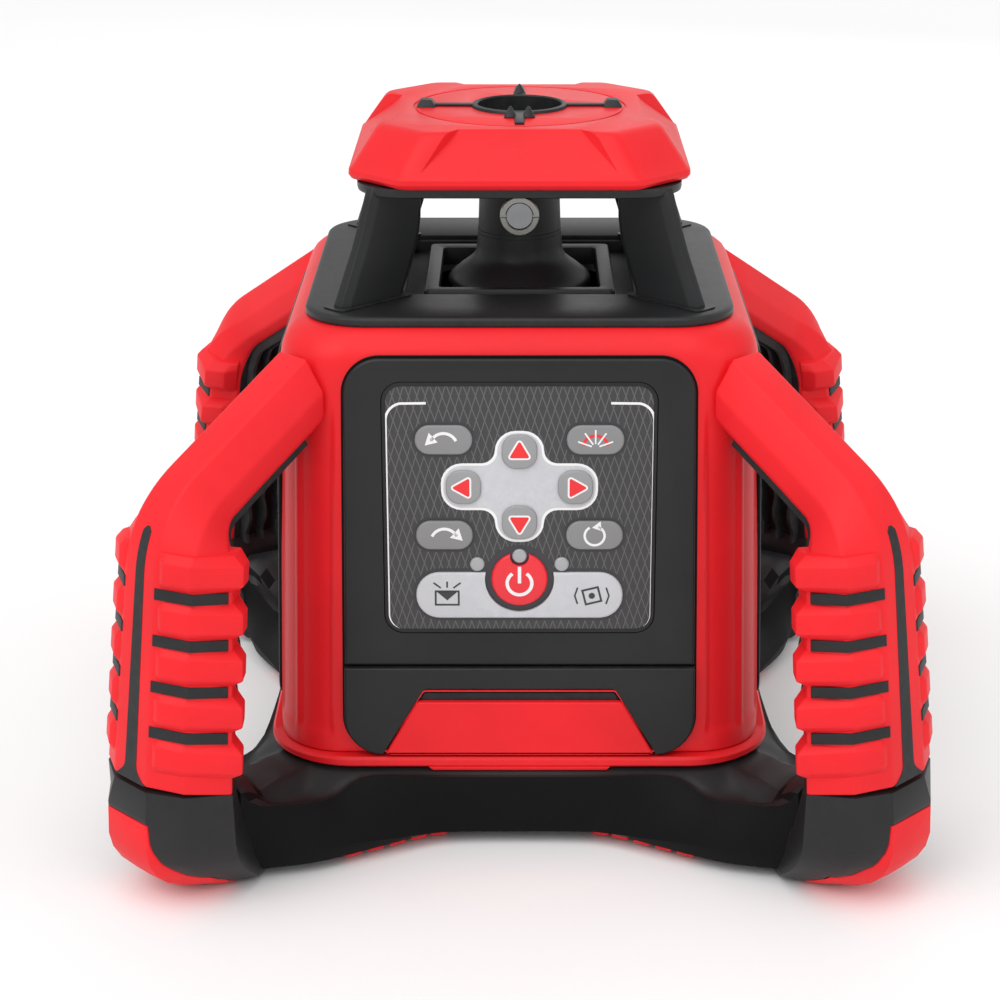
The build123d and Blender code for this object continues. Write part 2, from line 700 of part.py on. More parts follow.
def make_latch():
    """Latch flap with the round bead along its foot that it turns on."""
    flap = extrude(Pos(0, 0, 1.3) * latch_outline(), 1.7)
    bead = Pos(0, LATCH_HINGE_Z, LATCH_HINGE_OUT) * (Rot(0, 90, 0) * Cylinder(LATCH_HINGE_R, 67.2))
    return FRONT * (flap + bead)


# ---------------------------------------------------------------- rear panel and charging
SOCKET_X = 22.0
SOCKET_Z = 58.0
SOCKET_R = 4.2


def socket_disc(radius, inner, outer):
    """Disc on the back face at the charging socket, inner to outer off the face."""
    disc = Cylinder(radius, outer - inner, align=(Align.CENTER, Align.CENTER, Align.MIN))
    return quarter(FRONT * (Pos(SOCKET_X, SOCKET_Z, inner) * disc), 2)


def make_rear_panel():
    hole = socket_disc(SOCKET_R, -6, 6)
    seat = socket_disc(7.0, 0.3, 6)
    return make_side_panel(2) - hole - seat


def make_socket():
    barrel = socket_disc(SOCKET_R - 0.05, -9.8, 0.2)
    bore = socket_disc(2.75, -7.8, 1)
    return barrel - bore + socket_disc(1.0, -9, -1.5)


def make_charge_cover():
    """Rubber cover of the socket, on a strap along its top edge."""
    disc = socket_disc(6.7, 1.0, 2.4)
    strap = quarter(FRONT * (Pos(SOCKET_X, SOCKET_Z + 7.0, 1.7) * Box(6.0, 1.6, 1.0)), 2)
    roll = quarter(FRONT * (Pos(SOCKET_X, SOCKET_Z + 7.7, 1.7) * (Rot(0, 90, 0) * Cylinder(0.7, 8.0))), 2)
    return disc + strap + roll


# ---------------------------------------------------------------- levelling gimbal and laser
RING_OUTER = 34.0
RING_INNER = 29.6
RING_HALF_Z = 4.0
PIVOT_R = 2.0
RUNNING = 0.04
CARRIAGE_R = 25.8
SHAFT_R = 4.0
BRACKET_REACH = 38.4


LEVEL_MOTOR_R = 7.0
LEVEL_MOTOR_PLACES = {"x": (LEVER, 0.0, 106.5), "y": (0.0, LEVER, PIVOT_Z - 3.5)}


def make_gimbal_bracket():
    """Fixed frame that hangs below the well and carries the outer pivots."""
    plate = slab(40, 40, WELL_FLOOR_Z - 2.2, WELL_FLOOR_Z - 0.05, 3)
    plate = plate - pin(30, WELL_FLOOR_Z - 4, WELL_FLOOR_Z + 1)
    bracket = plate
    for side in (-1, 1):
        low = min(side * 36.2, side * 40)
        high = max(side * 36.2, side * 40)
        ear = box_between((low, -6, PIVOT_Z - 6), (high, 6, WELL_FLOOR_Z - 1))
        bracket = bracket + ear
    bracket = bracket - rod_along("x", PIVOT_R + RUNNING, -45, 45, 0, PIVOT_Z)
    out = LEVER + LEVEL_MOTOR_R
    for turn, (_, _, top) in zip((0, 1), LEVEL_MOTOR_PLACES.values()):
        tab = box_between((38, -5, WELL_FLOOR_Z - 2.2), (out + 2, 5, WELL_FLOOR_Z - 0.05))
        hanger = box_between((out, -5, top - 34), (out + 2, 5, WELL_FLOOR_Z - 0.05))
        bracket = bracket + quarter(tab + hanger, turn)
    return bracket & body_envelope(WALL + GAP, BODY_BOTTOM_Z, WELL_FLOOR_Z)


def make_gimbal_ring():
    ring = tube(RING_OUTER, RING_INNER, PIVOT_Z - RING_HALF_Z, PIVOT_Z + RING_HALF_Z)
    for side in (-1, 1):
        start, end = sorted((side * (RING_OUTER - 1), side * BRACKET_REACH))
        ring = ring + rod_along("x", PIVOT_R, start, end, 0, PIVOT_Z)
    lever = box_between((-4, RING_OUTER - 1, PIVOT_Z - 3), (4, LEVER + 4, PIVOT_Z))
    ring = ring + lever
    return ring - rod_along("y", PIVOT_R + RUNNING, -50, 33, 0, PIVOT_Z)


MOTOR_Y = -18.0
MOTOR_R = 7.0
PULLEY_LOW_Z = 125.0
PULLEY_HIGH_Z = 129.6
ROTOR_PULLEY_R = 8.5
MOTOR_PULLEY_R = 4.2
BEARING_R = 6.5


def make_carriage():
    disc = pin(CARRIAGE_R, PIVOT_Z - 4, PIVOT_Z + 4)
    for start, end in ((-33.0, -CARRIAGE_R + 1), (CARRIAGE_R - 1, 32.4)):
        disc = disc + rod_along("y", PIVOT_R, start, end, 0, PIVOT_Z)
    disc = disc - pin(BEARING_R, PIVOT_Z - 5, PIVOT_Z + 5)
    disc = disc - pin(MOTOR_R, PIVOT_Z - 5, PIVOT_Z + 1, 0, MOTOR_Y)
    disc = disc - pin(2.2, PIVOT_Z - 5, PIVOT_Z + 5, 0, MOTOR_Y)
    post = box_between((13, -3, 107.5), (19, 3, PIVOT_Z - 3))
    lever = box_between((13, -4, 107.0), (LEVER + 4, 4, 110.0))
    return disc + post + lever


def make_bearings():
    upper = tube(BEARING_R, SHAFT_R + RUNNING, PIVOT_Z + 0.6, PIVOT_Z + 4)
    lower = tube(BEARING_R, SHAFT_R + RUNNING, PIVOT_Z - 4, PIVOT_Z - 0.6)
    return Compound([s for b in (upper, lower) for s in b.solids()])


def make_laser_module():
    barrel = tube(8.0, 3.2, 88, PIVOT_Z - 4)
    board = tube(12.0, 3.0, 86.2, 88)
    return barrel + board + pin(3.2, 90, 96)


def make_spin_motor():
    return pin(MOTOR_R - 0.05, 96, PIVOT_Z + 0.95, 0, MOTOR_Y)


def make_motor_pulley():
    shaft = pin(1.0, PIVOT_Z + 1.3, PULLEY_HIGH_Z, 0, MOTOR_Y)
    wheel = pin(MOTOR_PULLEY_R, PULLEY_LOW_Z, PULLEY_HIGH_Z, 0, MOTOR_Y)
    groove = tube(MOTOR_PULLEY_R + 1, MOTOR_PULLEY_R - 1.0, 126.2, 128.4, 0, MOTOR_Y)
    return shaft + wheel - groove


def make_belt():
    """Flat belt round both pulleys, in their grooves."""
    rotor_r = ROTOR_PULLEY_R - 0.7
    motor_r = MOTOR_PULLEY_R - 0.7
    outer = belt_outline(rotor_r + 0.9, motor_r + 0.9)
    inner = belt_outline(rotor_r, motor_r)
    return extrude(Pos(0, 0, 126.6) * (outer - inner), 1.4)


def belt_outline(rotor_r, motor_r):
    span = abs(MOTOR_Y)
    lean = (rotor_r - motor_r) / span
    side = sqrt(1 - lean * lean)
    strip = make_face(
        Polyline(
            (rotor_r * side, -rotor_r * lean), (motor_r * side, MOTOR_Y - motor_r * lean),
            (-motor_r * side, MOTOR_Y - motor_r * lean), (-rotor_r * side, -rotor_r * lean), close=True,
        )
    )
    return strip + Circle(rotor_r) + Pos(0, MOTOR_Y) * Circle(motor_r)


def make_level_motors():
    cans = []
    for x, y, top in LEVEL_MOTOR_PLACES.values():
        can = pin(LEVEL_MOTOR_R, top - 34, top - 12, x, y) + pin(4.0, top - 34, top - 8, x, y)
        can = can - pin(2.0 + RUNNING, top - 24, top + 1, x, y)
        cans.append(can)
    return Compound([s for can in cans for s in can.solids()])


def make_plunger(axis):
    x, y, top = LEVEL_MOTOR_PLACES[axis]
    rod = pin(2.0, top - 18.5, top - 2.0, x, y)
    tip = Pos(x, y, top - 2.0) * Sphere(2.0)
    return rod + tip


# ---------------------------------------------------------------- rotor
TOWER_TOP_Z = 164.0
TOWER_R = 10.7
TOWER_FOOT_R = 11.5
SKIRT_R = 19.1
SKIRT_Z = 135.4
LENS_Z = 154.4


def make_shaft():
    shaft = tube(SHAFT_R, 2.4, PIVOT_Z - 3.8, 140)
    pulley = tube(ROTOR_PULLEY_R, SHAFT_R - 0.5, PULLEY_LOW_Z, PULLEY_HIGH_Z)
    pulley = pulley - tube(ROTOR_PULLEY_R + 1, ROTOR_PULLEY_R - 1.0, 126.2, 128.4)
    return shaft + pulley


def make_rotor_head():
    """Rotating head: tower with the prism's window, on a flared skirt."""
    profile = Polyline(
        (0, 132.8), (17.2, 132.8), (SKIRT_R, 134.2), (SKIRT_R, SKIRT_Z), (13.0, 141.4),
        (TOWER_FOOT_R, 142.6), (TOWER_R, 156.0), (TOWER_R, TOWER_TOP_Z), (0, TOWER_TOP_Z), close=True,
    )
    head = revolve(make_face(Plane.XZ * profile), Axis.Z)
    head = head - pin(8.4, 143.5, TOWER_TOP_Z + 1) - pin(16.0, 130, 134.2)
    head = head - pin(SHAFT_R, 130, 140) - pin(2.4, 130, 150)
    head = head - rod_along("y", 5.2, -20, -4, 0, LENS_Z)
    return head


def make_lens_ring():
    ring = rod_along("y", 5.15, -11.9, -8.8, 0, LENS_Z) - rod_along("y", 3.4, -13, -8, 0, LENS_Z)
    for side in (-1, 1):
        low, high = sorted((side * 3.0, side * 5.6))
        ring = ring - box_between((low, -13, LENS_Z - 0.35), (high, -11.2, LENS_Z + 0.35))
    return ring


def make_optics():
    lens = rod_along("y", 3.35, -11.3, -9.2, 0, LENS_Z)
    prism = extrude(
        Pos(0, 0, 147.0) * make_face(Polyline((-5, -4.5), (5, -4.5), (6, 2), (0, 5.5), (-6, 2), close=True)), 14
    )
    return Compound([s for part in (lens, prism) for s in part.solids()])


# ---------------------------------------------------------------- boards and screws
def make_boards():
    """Keypad board behind the membrane, and the main board at the back."""
    keypad_board = face_block(WINDOW_HALF_X - 8, 58, 122, -4.6, -3.0, 3)
    main_board = box_between((-34, 53.4, 64), (34, 55.0, 112))
    return Compound([s for board in (keypad_board, main_board) for s in board.solids()])


def make_insert():
    """Brass insert with the 5/8-11 tripod thread, shown at its minor diameter."""
    return tube(INSERT_R - 0.02, THREAD_MINOR_R, BASE_BOTTOM_Z, 18)


def make_screws():
    screws = []
    for x, y in corner_points(SCREW_SPREAD):
        screw = pin(SCREW_R, 3.0, 36, x, y) + pin(SCREW_HEAD_R, 3.0, 5.4, x, y)
        screws.append(screw - pin(1.4, 2, 4.6, x, y))
    return Compound([s for screw in screws for s in screw.solids()])


# ---------------------------------------------------------------- whole instrument
base, bumpers = make_base()
save(base, "base_frame")
save(bumpers, "foot_bumpers")
save(make_treads(), "tread_strips")
save(make_rim(), "base_rim")
save(make_insert(), "tripod_insert")
save(make_screws(), "case_screws")

handle_core, handle_grip = make_handle()
for corner, angle in CORNERS.items():
    save(Rot(0, 0, angle) * handle_core, f"handle_core_{corner}")
    save(Rot(0, 0, angle) * handle_grip, f"handle_grip_{corner}")

save(make_body_shell(), "body_shell")
save(make_deck(), "deck_plate")
save(make_well(), "rotor_well")
save(make_guard(), "guard_frame")
save(make_cap(), "cap")
save(make_sights(), "sight_ring")

save(make_front_bezel(), "front_bezel")
save(make_membrane(), "keypad_membrane")
save(make_leds(), "led_lenses")
for key_name, key_outline in KEYS.items():
    save(key_plate(key_outline(0.0)), key_name)

save(make_side_panel(3), "side_panel_left")
save(make_side_panel(1), "side_panel_right")
save(make_rear_panel(), "rear_panel")
save(make_socket(), "charge_socket")
save(make_charge_cover(), "charge_cover")

save(make_bay(), "battery_bay")
save(make_contacts(), "battery_contacts")
save(make_pack_case(), "battery_pack_case")
save(make_cells(), "battery_cells")
save(make_latch(), "battery_latch")

save(make_gimbal_bracket(), "gimbal_bracket")
save(make_gimbal_ring(), "gimbal_ring")
save(make_carriage(), "laser_carriage")
save(make_laser_module(), "laser_module")
save(make_bearings(), "rotor_bearings")
save(make_spin_motor(), "spin_motor")
save(make_motor_pulley(), "motor_pulley")
save(make_belt(), "drive_belt")
save(make_level_motors(), "level_motors")
save(make_plunger("x"), "level_plunger_x")
save(make_plunger("y"), "level_plunger_y")
save(make_shaft(), "rotor_shaft")
save(make_rotor_head(), "rotor_head")
save(make_lens_ring(), "lens_ring")
save(make_optics(), "rotor_optics")
save(make_boards(), "circuit_boards")
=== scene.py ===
import math

import bmesh
import bpy
from mathutils import Matrix, Vector


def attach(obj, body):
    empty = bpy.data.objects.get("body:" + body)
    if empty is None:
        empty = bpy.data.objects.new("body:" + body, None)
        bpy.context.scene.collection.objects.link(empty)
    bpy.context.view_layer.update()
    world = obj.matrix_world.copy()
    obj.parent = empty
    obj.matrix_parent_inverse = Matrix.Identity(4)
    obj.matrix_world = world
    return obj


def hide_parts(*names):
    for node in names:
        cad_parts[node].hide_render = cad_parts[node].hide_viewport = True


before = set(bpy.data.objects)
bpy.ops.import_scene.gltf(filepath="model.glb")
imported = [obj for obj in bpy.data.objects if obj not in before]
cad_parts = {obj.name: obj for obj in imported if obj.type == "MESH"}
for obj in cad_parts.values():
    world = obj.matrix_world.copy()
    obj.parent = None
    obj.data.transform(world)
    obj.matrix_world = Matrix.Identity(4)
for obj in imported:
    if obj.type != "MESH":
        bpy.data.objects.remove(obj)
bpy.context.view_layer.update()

# Sizes are in millimetres up to the mesh maker, which turns them into metres.
MM = 0.001

# ---------------------------------------------------------------- sizes shared with the frame
FACE_SLOPE = 2.8 / 103.0
FACE_HALF_AT_GROUND = 62.8 + 25.0 * FACE_SLOPE
FACE_TILT = math.atan(FACE_SLOPE)
BODY_BOTTOM_Z = 25.0

GRIP_LEAN = 0.125
GRIP_MID_Z = 71.5
GRIP_MID_REACH = 120.0
ARM_SLOPE = 0.607
BEND_REACH = 117.0
BEND_Z = 95.2
BEND_START_REACH = 108.0
BEND_END_Z = 85.0
FOOT_TOP_Z = 32.6
BULGE_PITCH = 11.49
BULGE_HEIGHT = 8.7
TOP_BULGE_Z = 87.3
BULGE_COUNT = 5
CORNERS = {"front_left": -135, "front_right": -45, "rear_right": 45, "rear_left": 135}


# ---------------------------------------------------------------- mesh helpers
def link(obj):
    bpy.context.scene.collection.objects.link(obj)
    return obj


def mesh_object(name, verts, faces):
    mesh = bpy.data.meshes.new(name)
    mesh.from_pydata([(x * MM, y * MM, z * MM) for x, y, z in verts], [], faces)
    bm = bmesh.new()
    bm.from_mesh(mesh)
    bmesh.ops.remove_doubles(bm, verts=bm.verts, dist=1e-7)
    bmesh.ops.recalc_face_normals(bm, faces=bm.faces)
    bm.to_mesh(mesh)
    bm.free()
    return link(bpy.data.objects.new(name, mesh))


def apply_modifiers(obj):
    graph = bpy.context.evaluated_depsgraph_get()
    mesh = bpy.data.meshes.new_from_object(obj.evaluated_get(graph))
    old = obj.data
    obj.modifiers.clear()
    obj.data = mesh
    bpy.data.meshes.remove(old)
    return obj


def smooth(obj, angle=32):
    for polygon in obj.data.polygons:
        polygon.use_smooth = True
    obj.data.set_sharp_from_angle(angle=math.radians(angle))
    return obj


def bevel(obj, width, segments=3, angle=25):
    modifier = obj.modifiers.new("edges", "BEVEL")
    modifier.width = width * MM
    modifier.segments = segments
    modifier.limit_method = "ANGLE"
    modifier.angle_limit = math.radians(angle)
    modifier.use_clamp_overlap = True
    apply_modifiers(obj)
    return smooth(obj, 40)


def boolean(obj, other, operation):
    modifier = obj.modifiers.new("join", "BOOLEAN")
    modifier.operation = operation
    modifier.solver = "EXACT"
    modifier.object = other
    apply_modifiers(obj)
    bpy.data.objects.remove(other)
    return obj


def moved(obj, matrix):
    obj.data.transform(matrix)
    obj.data.update()
    return obj


def turned(points, degrees):
    angle = math.radians(degrees)
    c, s = math.cos(angle), math.sin(angle)
    return [(x * c - y * s, x * s + y * c, z) for x, y, z in points]


def spin(degrees):
    return Matrix.Rotation(math.radians(degrees), 4, "Z")


def joined(name, objects, material=None):
    """One object from several, with their material slots merged or one material given to all."""
    verts, faces, smooth_flags, mats, mat_index = [], [], [], [], []
    for obj in objects:
        if material:
            dress(obj, material)
        base = len(verts)
        verts += [v.co.copy() for v in obj.data.vertices]
        for polygon in obj.data.polygons:
            faces.append([base + i for i in polygon.vertices])
            smooth_flags.append(polygon.use_smooth)
            mat = obj.data.materials[polygon.material_index]
            if mat not in mats:
                mats.append(mat)
            mat_index.append(mats.index(mat))
    mesh = bpy.data.meshes.new(name)
    mesh.from_pydata(verts, [], faces)
    for mat in mats:
        mesh.materials.append(mat)
    mesh.polygons.foreach_set("material_index", mat_index)
    mesh.polygons.foreach_set("use_smooth", smooth_flags)
    mesh.update()
    mesh.set_sharp_from_angle(angle=math.radians(40))
    for obj in objects:
        bpy.data.objects.remove(obj)
    return link(bpy.data.objects.new(name, mesh))


def ring_faces(levels, count, looped=False):
    """Quads between successive closed rings of count points; looped joins the last to the first."""
    faces = []
    for level in range(levels if looped else levels - 1):
        a = level * count
        b = (level + 1) % levels * count
        for i in range(count):
            j = (i + 1) % count
            faces.append((a + i, a + j, b + j, b + i))
    return faces


def loft(name, rings, cap_end=True):
    """Solid through rings of points, closed at its ends."""
    count = len(rings[0])
    faces = ring_faces(len(rings), count)
    faces.append(tuple(reversed(range(count))))
    if cap_end:
        base = (len(rings) - 1) * count
        faces.append(tuple(base + i for i in range(count)))
    return mesh_object(name, [p for ring in rings for p in ring], faces)


def looped_loft(name, rings):
    """Ring-shaped solid: the last ring joins the first."""
    return mesh_object(name, [p for ring in rings for p in ring], ring_faces(len(rings), len(rings[0]), True))


def rounded_square(half_x, half_y, radius, z, steps=10):
    ring = []
    for cx, cy, start in ((1, 1, 0), (-1, 1, 90), (-1, -1, 180), (1, -1, 270)):
        for i in range(steps + 1):
            angle = math.radians(start + 90 * i / steps)
            ring.append(
                (
                    cx * (half_x - radius) + radius * math.cos(angle),
                    cy * (half_y - radius) + radius * math.sin(angle),
                    z,
                )
            )
    return ring


def circle(radius, z, count=64, x=0.0, y=0.0):
    return [
        (x + radius * math.cos(2 * math.pi * i / count), y + radius * math.sin(2 * math.pi * i / count), z)
        for i in range(count)
    ]


def on_face(points):
    """Places points (x, up, out) on the leaning front face."""
    c, s = math.cos(FACE_TILT), math.sin(FACE_TILT)
    return [(x, -FACE_HALF_AT_GROUND + up * s - out * c, up * c + out * s) for x, up, out in points]


def ease(x):
    x = min(1.0, max(0.0, x))
    return x * x * (3 - 2 * x)


# ---------------------------------------------------------------- materials
class Nodes:
    """Short way to build a node tree."""

    def __init__(self, name):
        self.material = bpy.data.materials.new(name)
        self.material.use_nodes = True
        self.tree = self.material.node_tree
        self.shader = self.tree.nodes["Principled BSDF"]

    def node(self, kind, **values):
        made = self.tree.nodes.new(kind)
        for key, value in values.items():
            if hasattr(made, key):
                setattr(made, key, value)
            else:
                made.inputs[key.replace("_", " ")].default_value = value
        return made

    def wire(self, source, target):
        self.tree.links.new(source, target)

    def math(self, operation, a, b=0.0):
        made = self.tree.nodes.new("ShaderNodeMath")
        made.operation = operation
        for socket, value in zip(made.inputs, (a, b)):
            if isinstance(value, (int, float)):
                socket.default_value = value
            else:
                self.wire(value, socket)
        return made.outputs[0]

    def mix(self, factor, a, b):
        made = self.tree.nodes.new("ShaderNodeMix")
        made.data_type = "RGBA"
        for socket, value in zip((made.inputs[0], made.inputs[6], made.inputs[7]), (factor, a, b)):
            if isinstance(value, (int, float)):
                socket.default_value = value
            elif isinstance(value, tuple):
                socket.default_value = (*value, 1.0)
            else:
                self.wire(value, socket)
        return made.outputs[2]

    def ramp(self, source, low, high):
        made = self.tree.nodes.new("ShaderNodeMapRange")
        made.inputs["From Min"].default_value = low
        made.inputs["From Max"].default_value = high
        self.wire(source, made.inputs["Value"])
        return made.outputs[0]


def moulded(name, color, rough, grain=0.35, grain_size=0.35, coat=0.0, specular=0.5, edge=0.25, tone=0.12):
    """Moulded plastic: fine grain, faint mottling of tone and gloss, lightly rubbed edges."""
    n = Nodes(name)
    place = n.node("ShaderNodeTexCoord").outputs["Object"]
    cloud = n.node("ShaderNodeTexNoise", Scale=38.0, Detail=4.0)
    n.wire(place, cloud.inputs["Vector"])
    fine = n.node("ShaderNodeTexNoise", Scale=1000.0 / grain_size / 2, Detail=2.0)
    n.wire(place, fine.inputs["Vector"])
    speck = n.node("ShaderNodeTexNoise", Scale=420.0, Detail=3.0, Roughness=0.7)
    n.wire(place, speck.inputs["Vector"])
    dark = tuple(c * (1 - tone) for c in color)
    light = tuple(min(1.0, c * (1 + tone)) for c in color)
    base = n.mix(n.ramp(cloud.outputs["Fac"], 0.35, 0.65), dark, light)
    edges = n.node("ShaderNodeNewGeometry").outputs["Pointiness"]
    rubbed = n.math("MULTIPLY", n.ramp(edges, 0.52, 0.60), edge)
    worn = n.math("MULTIPLY", rubbed, n.ramp(speck.outputs["Fac"], 0.40, 0.62))
    pale = tuple(min(1.0, c * 1.35 + 0.02) for c in color)
    n.wire(n.mix(worn, base, pale), n.shader.inputs["Base Color"])
    gloss = n.math("ADD", n.math("MULTIPLY", speck.outputs["Fac"], 0.10), rough - 0.05)
    n.wire(gloss, n.shader.inputs["Roughness"])
    n.shader.inputs["Specular IOR Level"].default_value = specular
    n.shader.inputs["Coat Weight"].default_value = coat
    n.shader.inputs["Coat Roughness"].default_value = 0.22
    bump = n.node("ShaderNodeBump", Strength=grain, Distance=0.00004)
    n.wire(fine.outputs["Fac"], bump.inputs["Height"])
    n.wire(bump.outputs["Normal"], n.shader.inputs["Normal"])
    return n.material


def metal(name, color, rough, lines=0.0):
    """Machined metal with fine turning lines and smudges."""
    n = Nodes(name)
    place = n.node("ShaderNodeTexCoord").outputs["Object"]
    stretch = n.node("ShaderNodeMapping")
    stretch.inputs["Scale"].default_value = (1.0, 1.0, 14.0)
    n.wire(place, stretch.inputs["Vector"])
    streak = n.node("ShaderNodeTexNoise", Scale=260.0, Detail=3.0)
    n.wire(stretch.outputs["Vector"], streak.inputs["Vector"])
    smudge = n.node("ShaderNodeTexNoise", Scale=70.0, Detail=4.0)
    n.wire(place, smudge.inputs["Vector"])
    dark = tuple(c * 0.8 for c in color)
    n.wire(n.mix(smudge.outputs["Fac"], dark, color), n.shader.inputs["Base Color"])
    n.shader.inputs["Metallic"].default_value = 1.0
    gloss = n.math("ADD", n.math("MULTIPLY", smudge.outputs["Fac"], 0.15), rough)
    n.wire(gloss, n.shader.inputs["Roughness"])
    bump = n.node("ShaderNodeBump", Strength=0.1 + lines, Distance=0.00003)
    n.wire(streak.outputs["Fac"], bump.inputs["Height"])
    n.wire(bump.outputs["Normal"], n.shader.inputs["Normal"])
    return n.material


RED = (0.78, 0.013, 0.019)
SOFT_RED = (0.82, 0.016, 0.023)
BLACK = (0.013, 0.0135, 0.0145)
SOFT_BLACK = (0.016, 0.0165, 0.018)
# Near-black kept only for painted shade: base walls in shadow, gaps round the panels and the socket hole.
SHADE_BLACK = (0.004, 0.004, 0.0045)

red_gloss = moulded("red_plastic_satin", RED, 0.42, 0.12, 0.3, specular=0.25, edge=0.2, tone=0.05)
red_soft = moulded("red_rubber_soft", SOFT_RED, 0.50, 0.25, 0.4, specular=0.22, edge=0.15, tone=0.05)
black_satin = moulded("black_plastic_satin", BLACK, 0.42, specular=0.32, edge=0.4, tone=0.15)
black_soft = moulded("black_rubber_soft", SOFT_BLACK, 0.55, 0.3, specular=0.3, edge=0.3)
# Material of the painted shade, with the same grain and rubbed edges as the other plastics.
shade_black = moulded("painted_shade_black", SHADE_BLACK, 0.6, 0.2, specular=0.12, edge=0.1, tone=0.1)
key_grey = moulded("key_film_grey", (0.235, 0.237, 0.242), 0.42, 0.15, tone=0.04)
key_mid = moulded("key_film_mid", (0.30, 0.303, 0.31), 0.42, 0.15, tone=0.04)
key_light = moulded("key_film_light", (0.54, 0.55, 0.575), 0.42, 0.15, tone=0.03)
key_red = moulded("key_film_red", (0.80, 0.022, 0.035), 0.38, 0.15, tone=0.04)
print_white = moulded("print_white", (0.84, 0.84, 0.84), 0.45, 0.1, tone=0.02, edge=0.0)
print_black = moulded("print_black", (0.035, 0.035, 0.04), 0.45, 0.1, tone=0.05, edge=0.0)
print_red = moulded("print_red", (0.82, 0.02, 0.025), 0.40, 0.1, tone=0.03, edge=0.0)
lamp_grey = moulded("lamp_lens_grey", (0.36, 0.365, 0.38), 0.22, 0.05, coat=0.4, tone=0.05, edge=0.0)
board_green = moulded("board_green", (0.03, 0.16, 0.07), 0.4, 0.2, tone=0.2)
cell_wrap = moulded("cell_wrap", (0.05, 0.20, 0.42), 0.35, 0.1, tone=0.05)
belt_black = moulded("belt_rubber", (0.02, 0.02, 0.02), 0.7, 0.5, tone=0.2)
steel = metal("steel_turned", (0.62, 0.62, 0.63), 0.28, 0.1)
brass = metal("brass_turned", (0.72, 0.54, 0.26), 0.3, 0.1)
alloy = metal("alloy_cast", (0.66, 0.67, 0.69), 0.38, 0.15)
ring_silver = metal("ring_silver", (0.50, 0.50, 0.475), 0.42, 0.05)
can_grey = metal("motor_can", (0.45, 0.45, 0.47), 0.3, 0.05)


def lens_material():
    n = Nodes("lens_glass")
    place = n.node("ShaderNodeTexCoord").outputs["Object"]
    haze = n.node("ShaderNodeTexNoise", Scale=300.0)
    n.wire(place, haze.inputs["Vector"])
    n.wire(n.mix(haze.outputs["Fac"], (0.20, 0.21, 0.22), (0.27, 0.28, 0.29)), n.shader.inputs["Base Color"])
    n.shader.inputs["Roughness"].default_value = 0.12
    n.shader.inputs["Metallic"].default_value = 0.55
    n.shader.inputs["Coat Weight"].default_value = 0.8
    n.shader.inputs["Coat Roughness"].default_value = 0.04
    return n.material


def film_material():
    """Dark keypad film printed with fine crossed lines."""
    n = Nodes("keypad_film_crossed")
    place = n.node("ShaderNodeTexCoord").outputs["Object"]
    split = n.node("ShaderNodeSeparateXYZ")
    n.wire(place, split.inputs[0])
    x, z = split.outputs["X"], split.outputs["Z"]
    lines = []
    for sign, pitch, lean in ((1, 0.00205, 0.36), (-1, 0.00205, 0.30)):
        along = n.math("ADD", x, n.math("MULTIPLY", z, sign * lean))
        saw = n.math("FRACT", n.math("DIVIDE", along, pitch), 0.0)
        away = n.math("ABSOLUTE", n.math("SUBTRACT", saw, 0.5), 0.0)
        lines.append(n.ramp(away, 0.42, 0.47))
    both = n.math("MAXIMUM", lines[0], lines[1])
    n.wire(n.mix(both, (0.040, 0.040, 0.041), (0.115, 0.115, 0.117)), n.shader.inputs["Base Color"])
    n.shader.inputs["Roughness"].default_value = 0.42
    bump = n.node("ShaderNodeBump", Strength=0.25, Distance=0.00005)
    n.wire(both, bump.inputs["Height"])
    n.wire(bump.outputs["Normal"], n.shader.inputs["Normal"])
    return n.material


lens_glass = lens_material()
film = film_material()


def dress(obj, material):
    obj.data.materials.clear()
    obj.data.materials.append(material)
    return obj


def keep(obj, body, replaces=()):
    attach(obj, body)
    if replaces:
        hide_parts(*replaces)
    return obj


# ---------------------------------------------------------------- handles
# Half sections (out from the centre line, sideways): plateau edge, ridge, widest kink, inner corner.
# The grip's section widens from its top to its foot.
GRIP_SECTION_TOP = [(9.8, 5.6), (5.1, 14.3), (-4.5, 17.2), (-11.0, 12.7)]
GRIP_SECTION_FOOT = [(9.8, 6.4), (5.1, 15.4), (-4.5, 22.0), (-11.0, 12.9)]
ARM_SECTION = [(10.0, 5.0), (2.3, 9.3), (-3.2, 9.3), (-5.5, 6.9)]
GRIP_TOP_Z = 87.0
# End face of an arm on the housing's corner: (reach, sideways, height).
ARM_ROOT = [(78.6, 5.0, 130.2), (76.9, 9.3, 122.2), (77.0, 9.3, 115.7), (79.3, 6.9, 111.6)]


def reach_at(z):
    return GRIP_MID_REACH + (GRIP_MID_Z - z) * GRIP_LEAN


def arm_height(reach):
    return BEND_Z + ARM_SLOPE * (BEND_REACH - reach)


def spread(top, foot, z):
    """Section between the one at the grip's top and the one at the foot."""
    share = min(1.0, max(0.0, (GRIP_TOP_Z - z) / (GRIP_TOP_Z - FOOT_TOP_Z)))
    return blend(top, foot, share)


def grip_station(z):
    length = math.hypot(1.0, GRIP_LEAN)
    return (reach_at(z), z, (1.0 / length, GRIP_LEAN / length), 1.0)


def arm_station(reach):
    length = math.hypot(1.0, ARM_SLOPE)
    return (reach, arm_height(reach), (ARM_SLOPE / length, 1.0 / length), 0.0)


